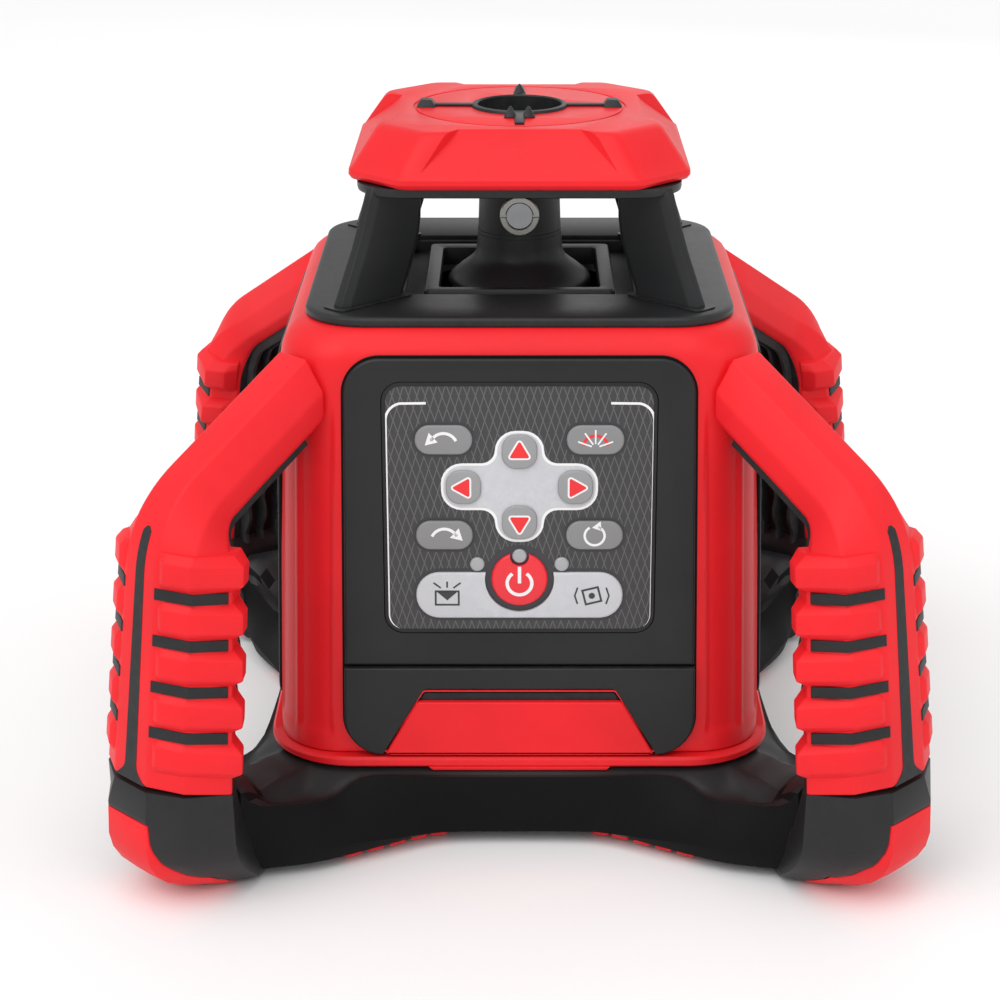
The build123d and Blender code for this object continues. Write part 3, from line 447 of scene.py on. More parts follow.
def handle_path():
    """Stations (reach, z, outward normal, share of grip section) from the housing to the foot."""
    start = Vector((BEND_START_REACH, arm_height(BEND_START_REACH)))
    corner = Vector((BEND_REACH, BEND_Z))
    end = Vector((reach_at(BEND_END_Z), BEND_END_Z))
    stations = [arm_station(84.0), arm_station(98.0)]
    steps = 12
    for i in range(steps + 1):
        u = i / steps
        a, b = start.lerp(corner, u), corner.lerp(end, u)
        point, along = a.lerp(b, u), (b - a).normalized()
        stations.append((point.x, point.y, (-along.y, along.x), ease(0.08 + 0.92 * u)))
    return stations + [grip_station(z) for z in (70.0, 50.0, FOOT_TOP_Z)]


def section_point(stationed, n, t):
    r, z, (nr, nz), _ = stationed
    return (r + n * nr, t, z + n * nz)


def mirrored_ring(stationed, half):
    """Ring through the points (n, t) of a half section and their mirror images."""
    right = [section_point(stationed, n, t) for n, t in half]
    left = [section_point(stationed, n, -t) for n, t in reversed(half)]
    return right + left


def blend(a, b, share):
    return [(na + (nb - na) * share, ta + (tb - ta) * share) for (na, ta), (nb, tb) in zip(a, b)]


def handle_section(stationed):
    grip = spread(GRIP_SECTION_TOP, GRIP_SECTION_FOOT, stationed[1])
    return blend(ARM_SECTION, grip, stationed[3])


BULGE_OUTER_TOP = [(9.3, 6.4), (9.8, 8.5), (6.4, 14.8), (-5.0, 20.6), (-9.6, 17.0), (-11.1, 13.2)]
BULGE_OUTER_FOOT = [(9.3, 7.2), (9.8, 9.3), (6.4, 15.0), (-5.0, 25.2), (-9.6, 19.6), (-11.1, 13.6)]
BULGE_ROOT_TOP = [(9.0, 6.4), (8.1, 8.3), (4.9, 14.0), (-4.8, 16.8), (-8.6, 14.4), (-10.7, 12.5)]
BULGE_ROOT_FOOT = [(9.0, 7.2), (8.1, 9.2), (4.9, 15.0), (-4.8, 21.5), (-8.6, 17.4), (-10.7, 12.8)]
BULGE_INSIDE = [(-7.0, 9.0), (6.0, 4.0)]
BULGE_CHAMFER = 1.9


def make_bulge(name, middle, side):
    """One chamfered pad of the grip."""
    half = BULGE_HEIGHT / 2
    end, flat = half + 0.2, half - BULGE_CHAMFER
    levels = [(-end, 0.0), (-flat, 1.0), (flat, 1.0), (end, 0.0)]
    rings = []
    for offset, out in levels:
        here = grip_station(middle + offset)
        outer = spread(BULGE_OUTER_TOP, BULGE_OUTER_FOOT, here[1])
        root = spread(BULGE_ROOT_TOP, BULGE_ROOT_FOOT, here[1])
        points = blend(root, outer, out) + BULGE_INSIDE
        rings.append([section_point(here, n, side * t) for n, t in points])
    return bevel(loft(name, rings), 0.35, 2, 20)


BAND_TOP = [(9.95, 5.9), (5.35, 14.55), (-3.2, 17.25)]
BAND_FOOT = [(9.95, 6.8), (5.35, 15.75), (-3.2, 21.7)]


def make_band(name, middle, side):
    """Black strip of the core that shows between two bulges."""
    half = (BULGE_PITCH - BULGE_HEIGHT) / 2
    rings = []
    for offset in (-half, half):
        here = grip_station(middle + offset)
        section = spread(BAND_TOP, BAND_FOOT, here[1])
        inner = [(n - 0.9, t - 0.9) for n, t in reversed(section)]
        rings.append([section_point(here, n, side * t) for n, t in section + inner])
    return bevel(loft(name, rings), 0.12, 2, 20)


def dense_path(path, spacing):
    """The path's stations with more put between them."""
    dense = []
    for a, b in zip(path, path[1:]):
        count = max(1, int(math.hypot(b[0] - a[0], b[1] - a[1]) / spacing))
        for i in range(count):
            u = i / count
            normal = Vector(a[2]).lerp(Vector(b[2]), u).normalized()
            reach, z, share = (a[k] + (b[k] - a[k]) * u for k in (0, 1, 3))
            dense.append((reach, z, tuple(normal), share))
    dense.append(path[-1])
    return dense


STRIPE_TOP_Z = 97.5
STRIPE_HALF_TOP = 1.5
STRIPE_HALF_LOW = 2.2
STRIPE_FLARE_Z = 38.0


def make_stripe(name):
    """Soft black stripe down the outer corner, rounded at its top and flared at the foot."""
    rings = []
    for here in dense_path(handle_path(), 0.6):
        surface = handle_section(here)[0][0]
        depth = STRIPE_TOP_Z - (here[1] + surface * here[2][1])
        if depth < 0:
            continue
        wide = STRIPE_HALF_TOP + (STRIPE_HALF_LOW - STRIPE_HALF_TOP) * min(1.0, depth / 60.0)
        half = wide
        if depth < wide:
            half = math.sqrt(max(0.02, wide ** 2 - (wide - depth) ** 2))
        if here[1] < STRIPE_FLARE_Z:
            half = wide + 4.2 * ease((STRIPE_FLARE_Z - here[1]) / 6.5) ** 2
        rings.append(mirrored_ring(here, [(surface - 1.0, half), (surface + 0.1, half)]))
    return smooth(loft(name, rings), 40)


RIB_PLACES = (-8.7, -2.9, 2.9, 8.7)
ARM_BACK = -5.5
GRIP_BACK = -11.0


def make_lamellae():
    """Black ribs on the inner face of a handle, scalloped to match the bulges, and their floor."""
    dense = dense_path(handle_path(), 1.6)
    rib_rings = [[] for _ in RIB_PLACES]
    floor_rings = []
    for here in dense:
        share = here[3]
        back = ARM_BACK + (GRIP_BACK - ARM_BACK) * share
        wave = 0.5 + 0.5 * math.cos(2 * math.pi * (here[1] - TOP_BULGE_Z) / BULGE_PITCH)
        ridge = back - 2.4 - 1.6 * share * wave ** 0.7
        for rings, place in zip(rib_rings, RIB_PLACES):
            t = place * (0.62 + 0.38 * share)
            outline = [(back + 1.5, t - 0.8), (ridge, t - 0.6), (ridge, t + 0.6), (back + 1.5, t + 0.8)]
            rings.append([section_point(here, n, t) for n, t in outline])
        wide = 6.3 + 5.6 * share
        floor_rings.append(mirrored_ring(here, [(back + 2.0, wide), (back - 0.25, wide)]))
    return [smooth(loft("lamella", rings), 30) for rings in rib_rings + [floor_rings]]


def arm_root_rings():
    """The arm's end face on the housing, with a narrower stub that goes on into the corner."""
    def ring(inset, shift):
        half = [(r + shift, t * (1 - inset / 8), z - inset * (z - 120.9) / 9) for r, t, z in ARM_ROOT]
        return half + [(r, -t, z) for r, t, z in reversed(half)]

    return [ring(1.6, -9.0), ring(1.6, 0.0), ring(0.0, 0.0)]


def make_handle(corner, angle):
    rings = arm_root_rings() + [mirrored_ring(here, handle_section(here)) for here in handle_path()]
    soft = [bevel(loft("grip", rings), 0.7, 3, 12)]
    dark = [make_stripe("stripe")] + make_lamellae()
    for index in range(BULGE_COUNT):
        middle = TOP_BULGE_Z - index * BULGE_PITCH
        soft += [make_bulge("bulge", middle, side) for side in (-1, 1)]
        if index < BULGE_COUNT - 1:
            dark += [make_band("band", middle - BULGE_PITCH / 2, side) for side in (-1, 1)]
    grip = moved(joined(f"grip_{corner}", soft, red_soft), spin(angle))
    keep(grip, "housing", [f"handle_grip_{corner}"])
    core = moved(joined(f"core_{corner}", dark, black_soft), spin(angle))
    keep(core, "housing", [f"handle_core_{corner}"])


for corner_name, corner_angle in CORNERS.items():
    make_handle(corner_name, corner_angle)


# ---------------------------------------------------------------- base
# One side of the base from its middle to the handle: along, out on the bottom line, height of the
# bottom line, along and out on the crest, height of the crest.
BASE_HALF_SIDE = [
    (0.0, 65.4, 3.6, 0.0, 66.8, 20.1),
    (8.0, 65.4, 3.6, 8.5, 66.8, 20.1),
    (15.0, 65.7, 3.7, 17.0, 66.9, 20.2),
    (20.0, 66.4, 3.9, 24.0, 67.1, 20.4),
    (24.5, 67.9, 4.1, 30.0, 67.3, 20.6),
    (28.5, 70.0, 4.6, 34.5, 67.5, 20.7),
    (32.0, 72.0, 5.1, 38.0, 67.8, 20.6),
    (36.0, 74.2, 5.8, 41.0, 68.2, 20.0),
    (40.0, 76.4, 6.4, 43.5, 69.0, 19.0),
    (44.0, 78.6, 6.9, 45.5, 70.4, 17.9),
    (48.0, 80.7, 7.3, 47.5, 72.6, 17.2),
    (51.0, 82.1, 7.6, 50.0, 74.6, 17.3),
    (54.0, 83.3, 7.8, 53.5, 76.6, 17.8),
    (58.0, 84.4, 8.0, 57.5, 78.8, 18.5),
    (62.0, 85.3, 8.0, 61.5, 81.2, 19.3),
    (65.5, 86.0, 8.1, 65.0, 83.4, 20.4),
    (68.0, 86.5, 8.1, 67.6, 85.2, 22.5),
    (70.0, 86.9, 8.1, 69.4, 86.4, 25.5),
]
NECK_HALF = 62.5
NECK_R = 18.0
NECK_Z = 22.2


def neck_distance(x, y):
    qx = abs(x) - (NECK_HALF - NECK_R)
    qy = abs(y) - (NECK_HALF - NECK_R)
    return math.hypot(max(qx, 0), max(qy, 0)) + min(max(qx, qy), 0) - NECK_R


def neck_point(x, y):
    """Nearest point on the neck's rounded square."""
    core = NECK_HALF - NECK_R
    cx = max(-core, min(core, x))
    cy = max(-core, min(core, y))
    dx, dy = x - cx, y - cy
    size = math.hypot(dx, dy) or 1.0
    return cx + NECK_R * dx / size, cy + NECK_R * dy / size


def base_top(x, y):
    """Height of the base's upper surface: the neck's skirt and the bevelled top of a leg."""
    s = (abs(x) + abs(y)) / math.sqrt(2)
    t = abs(abs(x) - abs(y)) / math.sqrt(2)
    d = max(0.0, neck_distance(x, y))
    skirt = NECK_Z - 0.42 * d - 0.020 * d * d if d < 8 else 17.56 - 0.8 * (d - 8)
    rise = 5.5 * ease((s - 99.0) / 8.0)
    slope = min(1.0, max(0.0, (t - 6.2) / 4.6))
    leg = 21.2 + rise - 4.2 * slope - 0.25 * max(0.0, t - 10.8)
    leg -= 0.25 * max(0.0, 84 - s)
    high, low = max(skirt, leg), min(skirt, leg)
    blend = max(0.0, 1.6 - (high - low)) ** 2 / (4 * 1.6)
    return high + blend


# The same six values, with signs, round the end of a leg.
LEG_END = [
    (74.0, -88.0, 8.1, 71.5, -84.0, 27.0),
    (82.0, -82.0, 8.1, 75.4, -75.4, 27.5),
    (88.0, -74.0, 8.1, 84.0, -71.5, 27.0),
]


def base_stations():
    """Pairs of bottom and crest points round the whole base, anticlockwise."""
    left = [(-a, -b, zb, -c, -d, zc) for a, b, zb, c, d, zc in reversed(BASE_HALF_SIDE)]
    right = [(a, -b, zb, c, -d, zc) for a, b, zb, c, d, zc in BASE_HALF_SIDE[1:]]
    stations = []
    for turn in range(4):
        for values in left + right + LEG_END:
            stations.append(turned([values[:3], values[3:]], 90 * turn))
    return stations


def make_base():
    bottom, low, middle, crest = [], [], [], []
    inner = [[] for _ in range(9)]
    for (xb, yb, zb), (xc, yc, zc) in base_stations():
        undercut = 1 - 2.6 / math.hypot(xb, yb)
        bottom.append((xb * undercut, yb * undercut, 3.0))
        low.append((xb, yb, zb))
        middle.append((xb + (xc - xb) * 0.38, yb + (yc - yb) * 0.38, zb + (zc - zb) * 0.55))
        crest.append((xc, yc, zc))
        nx, ny = neck_point(xc, yc)
        for level, ring in enumerate(inner):
            u = (level + 1) / len(inner)
            x, y = xc + (nx - xc) * u, yc + (ny - yc) * u
            hold = max(0.0, 1 - u * 3.2)
            z = base_top(x, y) * (1 - hold) + zc * hold
            ring.append((x, y, z if level < len(inner) - 1 else NECK_Z + 0.2))
    return bevel(loft("base", [bottom, low, middle, crest] + inner), 0.45, 2, 38)


def paint_wall_shade(base):
    """Paints the base's low upright walls a deeper black: painted shade where they lie in shadow."""
    dress(base, black_satin)
    base.data.materials.append(shade_black)
    for polygon in base.data.polygons:
        x, y, z = polygon.center / MM
        # Upright faces low on the base and clear of the neck get the painted shade.
        upright = abs(polygon.normal.z)
        low_wall = z < 16.5 and upright < 0.75
        high_wall = z < 23.5 and upright < 0.6 and neck_distance(x, y) > 2.5
        if low_wall or high_wall:
            polygon.material_index = 1
    return base


FOOT_REACH = reach_at(FOOT_TOP_Z)
# Half outlines of a foot by height: plateau edge, ridge, widest kink, inner corner.
FOOT_LEVELS = [
    (0.5, [(-6.5, 4.2), (-13.0, 8.6), (-19.0, 12.0), (-24.0, 10.0)]),
    (1.4, [(-3.5, 5.0), (-10.2, 10.2), (-18.0, 13.6), (-23.0, 11.0)]),
    (3.0, [(0.0, 5.8), (-7.4, 11.4), (-16.5, 15.0), (-22.0, 12.0)]),
    (6.0, [(5.0, 6.6), (-2.6, 12.6), (-12.8, 16.6), (-20.0, 12.6)]),
    (9.5, [(8.6, 7.2), (1.2, 13.8), (-9.4, 18.4), (-18.0, 12.8)]),
    (13.0, [(10.6, 7.6), (3.4, 14.6), (-7.2, 19.8), (-17.0, 12.8)]),
    (17.0, [(11.5, 7.8), (4.6, 15.0), (-5.8, 20.8), (-15.0, 12.9)]),
    (26.0, [(11.3, 7.6), (5.1, 15.2), (-4.8, 21.8), (-13.0, 12.9)]),
    (FOOT_TOP_Z - 0.2, [(9.8, 6.4), (5.1, 15.4), (-4.5, 22.0), (-12.0, 12.9)]),
]


def foot_solid(crease=0.0):
    """Block under a handle, on the +X side: faceted above, rounded under at the ground."""
    rings = []
    for z, outline in FOOT_LEVELS:
        fade = ease((27.0 - z) / 3.0)
        half = [(FOOT_REACH + outline[0][0] + crease * fade, 0.0, z)]
        half += [(FOOT_REACH + n + 0.2 * crease * fade, t, z) for n, t in outline]
        rings.append(half + [(x, -y, z) for x, y, z in reversed(half[1:])])
    return rings


BUMPER_INNER = [(-5.0, 108.0), (2.0, 112.0), (4.4, 118.5), (8.4, 123.8), (13.4, 127.0), (24.5, 128.6)]


def bumper_depth(z):
    """Reach of the bumper's inner side at a height."""
    for (z0, r0), (z1, r1) in zip(BUMPER_INNER, BUMPER_INNER[1:]):
        if z <= z1:
            return r0 + (r1 - r0) * (z - z0) / (z1 - z0)
    return BUMPER_INNER[-1][1]


def bumper_cutter(grow=0.0):
    """Zone of a foot that the red bumper takes: the outer plateau, spreading sideways at the ground."""
    rings = []
    edge = [(17.5, 3.6), (15.0, 5.6), (12.0, 9.0), (9.6, 13.6), (8.3, 18.8), (7.95, 24.0)]
    for side, order in ((-1, edge), (1, edge[::-1])):
        for across, top in order:
            y = side * (across + grow)
            inner = [(bumper_depth(top) - grow, y, top + grow)]
            inner += [(bumper_depth(top * u) - grow, y, top * u) for u in (0.7, 0.4, 0.1)]
            rings.append(inner + [(108.0 - grow, y, -5.0), (150.0, y, -5.0), (150.0, y, top + 1.6 + grow)])
    return loft("cutter", rings)


def make_foot(angle):
    core = loft("foot", foot_solid())
    boolean(core, bumper_cutter(0.15), "DIFFERENCE")
    bevel(core, 0.5, 2, 22)
    return dress(moved(core, spin(angle)), black_satin)


def make_bumper(angle):
    bumper = loft("bumper", foot_solid(0.6))
    boolean(bumper, bumper_cutter(-0.1), "INTERSECT")
    bevel(bumper, 0.4, 2, 30)
    return moved(bumper, spin(angle))


base_pieces = [paint_wall_shade(make_base())] + [make_foot(angle) for angle in CORNERS.values()]
keep(joined("base", base_pieces), "housing", ["base_frame"])
bumpers = [make_bumper(angle) for angle in CORNERS.values()]
keep(joined("bumpers", bumpers, red_soft), "housing", ["foot_bumpers"])

# Middle of each tread tooth (along the side, out from the centre) and its lean in degrees.
TREADS = [(21.5, 65.2, 12), (26.8, 67.3, 24), (32.3, 70.4, 30), (37.8, 73.4, 29), (43.2, 76.4, 28)]
TREAD_HALF_LONG = 2.25
TREAD_HALF_WIDE = 1.7


def tread_tooth(turn, side, along, out, lean):
    angle = math.radians(-lean * side)
    c, s = math.cos(angle), math.sin(angle)
    low, high = [], []
    for sx, sy in ((-1, -1), (1, -1), (1, 1), (-1, 1)):
        px, py = sx * TREAD_HALF_LONG, sy * TREAD_HALF_WIDE
        x = side * along + px * c - py * s
        y = -(out - 3.2) + px * s + py * c
        low.append((x, y + (0.4 if py < 0 else 0.0), 1.3))
        high.append((x, y, 3.4))
    return bevel(loft("tooth", [turned(low, 90 * turn), turned(high, 90 * turn)]), 0.25, 1, 25)


def make_treads():
    """Red rubber teeth under the concave edge on each side."""
    teeth = [tread_tooth(turn, side, *place) for turn in range(4) for side in (-1, 1) for place in TREADS]
    return joined("treads", teeth, red_soft)


keep(make_treads(), "housing", ["tread_strips"])


# ---------------------------------------------------------------- rim and housing
RIM_LEVELS = [
    (61.5, 21, 22.1), (65.0, 22, 22.25), (65.5, 22, 22.8),
    (65.5, 22, 24.2), (64.9, 22, 24.9), (60.5, 21, 25.2),
]


def make_rim():
    """Rounded rim round the housing's foot, with a thin lip under the latch."""
    ring = smooth(loft("rim", [rounded_square(half, half, r, z) for half, r, z in RIM_LEVELS]), 32)
    lip = [(-23.6, 22.4), (23.6, 22.4), (22.4, 21.25), (-22.4, 21.25)]
    lip_mesh = bevel(loft("lip", [[(x, y, z) for x, z in lip] for y in (-65.45, -63.6)]), 0.35, 2)
    return joined("rim", [ring, lip_mesh], red_gloss)


keep(make_rim(), "housing", ["base_rim"])

FLUTE_MIDDLES = (25.5, 64.5)
FLUTE_HALF = 18.0
FLUTE_DEPTH = 0.7


def shell_ring(half, radius, z, flutes):
    """Rounded square with two shallow flutes round each corner."""
    ring = []
    steps = 48
    for cx, cy, start in ((1, 1, 0), (-1, 1, 90), (-1, -1, 180), (1, -1, 270)):
        for i in range(steps + 1):
            local = 90 * i / steps
            sink = 0.0
            for middle in FLUTE_MIDDLES:
                away = abs(local - middle) / FLUTE_HALF
                if away < 1:
                    sink = max(sink, FLUTE_DEPTH * flutes * min(1.0, (1 - away) / 0.16))
            angle = math.radians(start + local)
            r, flat = radius - sink, half - radius
            ring.append((cx * flat + r * math.cos(angle), cy * flat + r * math.sin(angle), z))
    return ring


def body_half(z):
    return 62.8 - FACE_SLOPE * (z - BODY_BOTTOM_Z)


FLUTE_SHARES = [
    (30.2, 0.0), (30.9, 0.45), (31.8, 0.8), (33.2, 1.0), (60, 1.0), (90, 1.0), (108, 1.0), (114, 0.6),
    (118, 0.0), (122, 0.0),
]
SHOULDER = [
    (60.1, 17.0, 125.0), (60.0, 17.0, 127.2), (59.6, 16.8, 129.6), (58.8, 16.6, 131.8), (57.6, 16.2, 133.7),
    (56.0, 15.6, 135.2), (54.3, 15.2, 136.2), (53.2, 15.0, 136.5), (40.0, 12.0, 136.0),
]


def make_shell():
    rings = [shell_ring(61.9, 16.5, 25.0, 0.0), shell_ring(62.6, 17.0, 25.5, 0.0)]
    rings += [shell_ring(body_half(z), 17.0, z, share) for z, share in FLUTE_SHARES]
    rings += [shell_ring(half, radius, z, 0.0) for half, radius, z in SHOULDER]
    return smooth(loft("shell", rings, cap_end=False), 38)


def outline_to_ring(outline, level):
    return on_face([(x, up, level) for x, up in outline])


def fillet_outline(points, radii, steps=8):
    """Closed outline with each corner rounded to its radius."""
    result = []
    count = len(points)
    for i in range(count):
        p = Vector(points[i])
        radius = radii[i] if isinstance(radii, (list, tuple)) else radii
        a = (Vector(points[i - 1]) - p).normalized()
        b = (Vector(points[(i + 1) % count]) - p).normalized()
        if radius <= 0.01:
            result.append(tuple(p))
            continue
        half = math.acos(max(-1.0, min(1.0, a.dot(b)))) / 2
        reach = radius / math.tan(half)
        start, end = p + a * reach, p + b * reach
        middle = (a + b).normalized()
        centre = p + middle * (radius / math.sin(half))
        sweep_a = start - centre
        sweep_b = end - centre
        angle_a = math.atan2(sweep_a.y, sweep_a.x)
        turn = math.atan2(sweep_b.y, sweep_b.x) - angle_a
        while turn > math.pi:
            turn -= 2 * math.pi
        while turn < -math.pi:
            turn += 2 * math.pi
        for k in range(steps + 1):
            angle = angle_a + turn * k / steps
            result.append((centre.x + radius * math.cos(angle), centre.y + radius * math.sin(angle)))
    return result


def shrink(outline, amount):
    """Outline drawn in by amount; outlines run anticlockwise."""
    result = []
    count = len(outline)
    for i in range(count):
        p0, p1, p2 = (Vector(outline[(i + k) % count]) for k in (-1, 0, 1))
        e0, e1 = (p1 - p0), (p2 - p1)
        if e0.length < 1e-6 or e1.length < 1e-6:
            result.append(tuple(p1))
            continue
        n0 = Vector((-e0.y, e0.x)).normalized()
        n1 = Vector((-e1.y, e1.x)).normalized()
        n = (n0 + n1).normalized()
        scale = amount / max(0.4, n.dot(n1))
        result.append((p1.x + n.x * scale, p1.y + n.y * scale))
    return result


def plate(name, outline, inner, outer, edge=0.4, steps=3):
    """Raised plate on a face with a rounded front edge, made ring by ring."""
    rings = [outline_to_ring(outline, inner)]
    for k in range(steps + 1):
        angle = math.pi / 2 * k / steps
        inset = edge * (1 - math.cos(angle))
        rise = outer - edge + edge * math.sin(angle)
        rings.append(outline_to_ring(shrink(outline, inset), rise))
    return smooth(loft(name, rings), 42)


PANEL_OUTLINE = fillet_outline(
    [(-45.0, 25.4), (45.0, 25.4), (43.2, 130.6), (-43.2, 130.6)], [10.0, 10.0, 9.0, 9.0], 14
)


def panel_band(low, high):
    """Part of the front panel's outline between two heights."""
    result = []
    count = len(PANEL_OUTLINE)
    for i in range(count):
        p, q = PANEL_OUTLINE[i], PANEL_OUTLINE[(i + 1) % count]
        if low <= p[1] <= high:
            result.append(p)
        for limit in (low, high) if q[1] > p[1] else (high, low):
            if min(p[1], q[1]) < limit < max(p[1], q[1]):
                u = (limit - p[1]) / (q[1] - p[1])
                result.append((p[0] + (q[0] - p[0]) * u, limit))
    return result


def rounded_box(left, right, low, high, radius, steps=8):
    """Rectangle with rounded corners in the plane of a face."""
    return fillet_outline([(left, low), (right, low), (right, high), (left, high)], radius, steps)


def cut_face(obj, outline, low, high):
    """Cuts the outline out of a piece on the front face, between two levels."""
    cutter = loft("cutter", [outline_to_ring(outline, low), outline_to_ring(outline, high)])
    return boolean(obj, cutter, "DIFFERENCE")


def framed_plate(name, outline, window, inner, outer, edge, depth, lip=0.25):
    """Plate with a rounded outer edge and a window whose walls go down to depth."""
    solid = plate(name, outline, inner, outer, edge)
    cut_face(solid, window, depth, outer + 3)
    return bevel(solid, lip, 2, 50)


keep(dress(make_shell(), red_gloss), "housing", ["body_shell"])


def shadow_gap(name, outline):
    """Thin black band round a panel: painted shadow in the gap between the panel and the shell."""
    return plate(name, shrink(outline, -0.55), -0.5, 0.12, 0.05, 1)


bezel_outline = panel_band(49.9, 131)
KEYPAD_LOW, KEYPAD_HIGH, KEYPAD_HALF_X = 58.8, 124.8, 34.1
keypad_outline = rounded_box(-KEYPAD_HALF_X, KEYPAD_HALF_X, KEYPAD_LOW, KEYPAD_HIGH, 5.0)
bezel = dress(framed_plate("bezel", bezel_outline, keypad_outline, 0.0, 1.2, 0.7, 0.25), black_satin)
# Painted shadow in the gap round the front panel.
gap_shade = dress(shadow_gap("gap_shade", PANEL_OUTLINE), shade_black)
keep(joined("front_bezel_shape", [bezel, gap_shade]), "housing", ["front_bezel"])


# ---------------------------------------------------------------- keypad film and keys
def flat_shape(name, outline, level, material, thick=0.06):
    rings = [outline_to_ring(outline, level - thick), outline_to_ring(outline, level)]
    return dress(loft(name, rings), material)


def ring_shape(name, outline, width, level, material, thick=0.06):
    """Printed line that follows a closed outline, width wide, drawn inwards."""
    inner = shrink(outline, width)
    corners = ((outline, level), (inner, level), (inner, level - thick), (outline, level - thick))
    return dress(looped_loft(name, [outline_to_ring(ring, at) for ring, at in corners]), material)


def stroke(name, points, width, level, material, closed=False, thick=0.06, round_ends=False):
    """Printed line along points on the face."""
    left, right = [], []
    count = len(points)
    for i, p in enumerate(points):
        p = Vector(p)
        if closed:
            before, after = Vector(points[i - 1]), Vector(points[(i + 1) % count])
        else:
            before, after = Vector(points[max(0, i - 1)]), Vector(points[min(count - 1, i + 1)])
        e0 = (p - before).normalized() if (p - before).length > 1e-6 else (after - p).normalized()
        e1 = (after - p).normalized() if (after - p).length > 1e-6 else e0
        n = Vector((-(e0 + e1).y, (e0 + e1).x)).normalized()
        scale = width / 2 / max(0.5, n.dot(Vector((-e1.y, e1.x))))
        left.append(tuple(p + n * scale))
        right.append(tuple(p - n * scale))
    verts = on_face([(x, up, level) for x, up in left + right])
    verts += on_face([(x, up, level - thick) for x, up in left + right])
    faces = []
    last = count if closed else count - 1
    for i in range(last):
        j = (i + 1) % count
        for a, b in ((0, 1), (1, 3), (3, 2), (2, 0)):
            faces.append((a * count + i, b * count + i, b * count + j, a * count + j))
    if not closed:
        faces += [(0, count, 3 * count, 2 * count), (count - 1, 3 * count - 1, 4 * count - 1, 2 * count - 1)]
    return dress(mesh_object(name, verts, faces), material)


def arc(cx, cz, radius, start, end, steps=16):
    return [
        (cx + radius * math.cos(math.radians(start + (end - start) * i / steps)),
         cz + radius * math.sin(math.radians(start + (end - start) * i / steps)))
        for i in range(steps + 1)
    ]


def pill_outline(x, z, half_x, half_z):
    return rounded_box(x - half_x, x + half_x, z - half_z, z + half_z, half_z * 0.97)


FILM_OUT = 1.0
KEY_OUT = 1.9
sheet = dress(plate("film", shrink(keypad_outline, 0.15), 0.2, FILM_OUT, 0.15, 2), film)
border_outline, border_window = shrink(keypad_outline, 0.1), shrink(keypad_outline, 1.1)
border = framed_plate("film_border", border_outline, border_window, 0.2, 1.1, 0.2, 0.3, 0.05)
dress(border, black_satin)


def frame_line():
    """White line round the keys, open along its top edge."""
    box = rounded_box(-33.0, 33.2, 59.4, 119.4, 4.4)
    gap_left, gap_right = -23.0, 22.5
    top = [i for i, (_, z) in enumerate(box) if z > 119.3]
    first = max(top, key=lambda i: box[i][0])
    last = min(top, key=lambda i: box[i][0])
    order = [box[(last + k) % len(box)] for k in range((first - last) % len(box) + 1)]
    points = [(gap_left, 119.4)] + order + [(gap_right, 119.4)]
    return stroke("frame_line", points, 0.62, FILM_OUT + 0.09, print_white)


PAD_Z = 97.8
POWER_Z = 73.5
LONG_KEY_Z = 69.2
LAMP_IN_KEY_Z = 79.6
PILLS = {
    "key_turn_left": (-18.75, 110.1), "key_scan": (18.75, 110.1),
    "key_turn_right": (-18.75, 85.2), "key_speed": (18.75, 85.2),
}

film_pieces = [sheet, border, frame_line()]
for x, z in PILLS.values():
    film_pieces.append(flat_shape("halo", pill_outline(x, z, 7.9, 4.55), FILM_OUT + 0.05, print_black))
film_pieces.append(flat_shape("halo", pill_outline(0, LONG_KEY_Z, 26.9, 7.0), FILM_OUT + 0.05, print_black))
film_pieces.append(flat_shape("halo", arc(0, POWER_Z, 8.9, 0, 354, 59), FILM_OUT + 0.055, print_black))


def cross_outline(reach_x, reach_z, arm, fillet_r, end_r):
    """Outline of the four-way pad."""
    quarter = [(arm, -reach_z), (arm, -arm), (reach_x, -arm)]
    pts = []
    for sx, sz in ((1, 1), (1, -1), (-1, -1), (-1, 1)):
        corner = [(sx * x, PAD_Z + sz * z) for x, z in quarter]
        pts += corner if sx * sz > 0 else corner[::-1]
    return fillet_outline(pts, [end_r, fillet_r, end_r] * 4, 6)


cross_edge = cross_outline(19.5, 14.5, 6.1, 3.4, 5.2)
cross = cross_outline(18.9, 13.9, 5.5, 3.6, 4.7)
film_pieces.append(flat_shape("cross_edge", cross_edge, FILM_OUT + 0.07, print_white))
film_pieces.append(flat_shape("cross", cross, FILM_OUT + 0.10, key_light))
keep(joined("keypad_film_shape", film_pieces), "housing", ["keypad_membrane"])


def key_dome(name, outline, material, top=KEY_OUT, rise=0.5):
    return dress(plate(name, outline, 0.95, top, rise, 4), material)


def triangle(cx, cz, size, direction, level, material, width=None):
    start = {"up": 90, "left": 180, "down": 270, "right": 0}[direction]
    turns = [math.radians(start + k) for k in (0, 120, 240)]
    pts = [(cx + size * math.cos(a), cz + size * math.sin(a)) for a in turns]
    outline = fillet_outline(pts, size * 0.12, 3)
    if width:
        return ring_shape("tri_edge", shrink(outline, -width), width, level, material)
    return flat_shape("tri", outline, level, material)


def finish_key(name, pieces):
    keep(joined(f"{name}_shape", pieces), name, [name])


MARK = KEY_OUT + 0.07


def turn_arrow(cx, cz, mirror):
    """Curved arrow that stands for turning the rotor one way."""
    curve = arc(cx, cz - 1.6, 3.4, 25, 155, 14)
    head = [(cx - 4.6, cz - 1.3), (cx - 1.4, cz - 0.5), (cx - 3.6, cz + 2.0)]
    if mirror:
        curve = [(2 * cx - x, z) for x, z in curve]
        head = [(2 * cx - x, z) for x, z in reversed(head)]
    return [
        stroke("arrow", curve, 0.75, MARK, print_white),
        flat_shape("head", head, MARK, print_white),
    ]


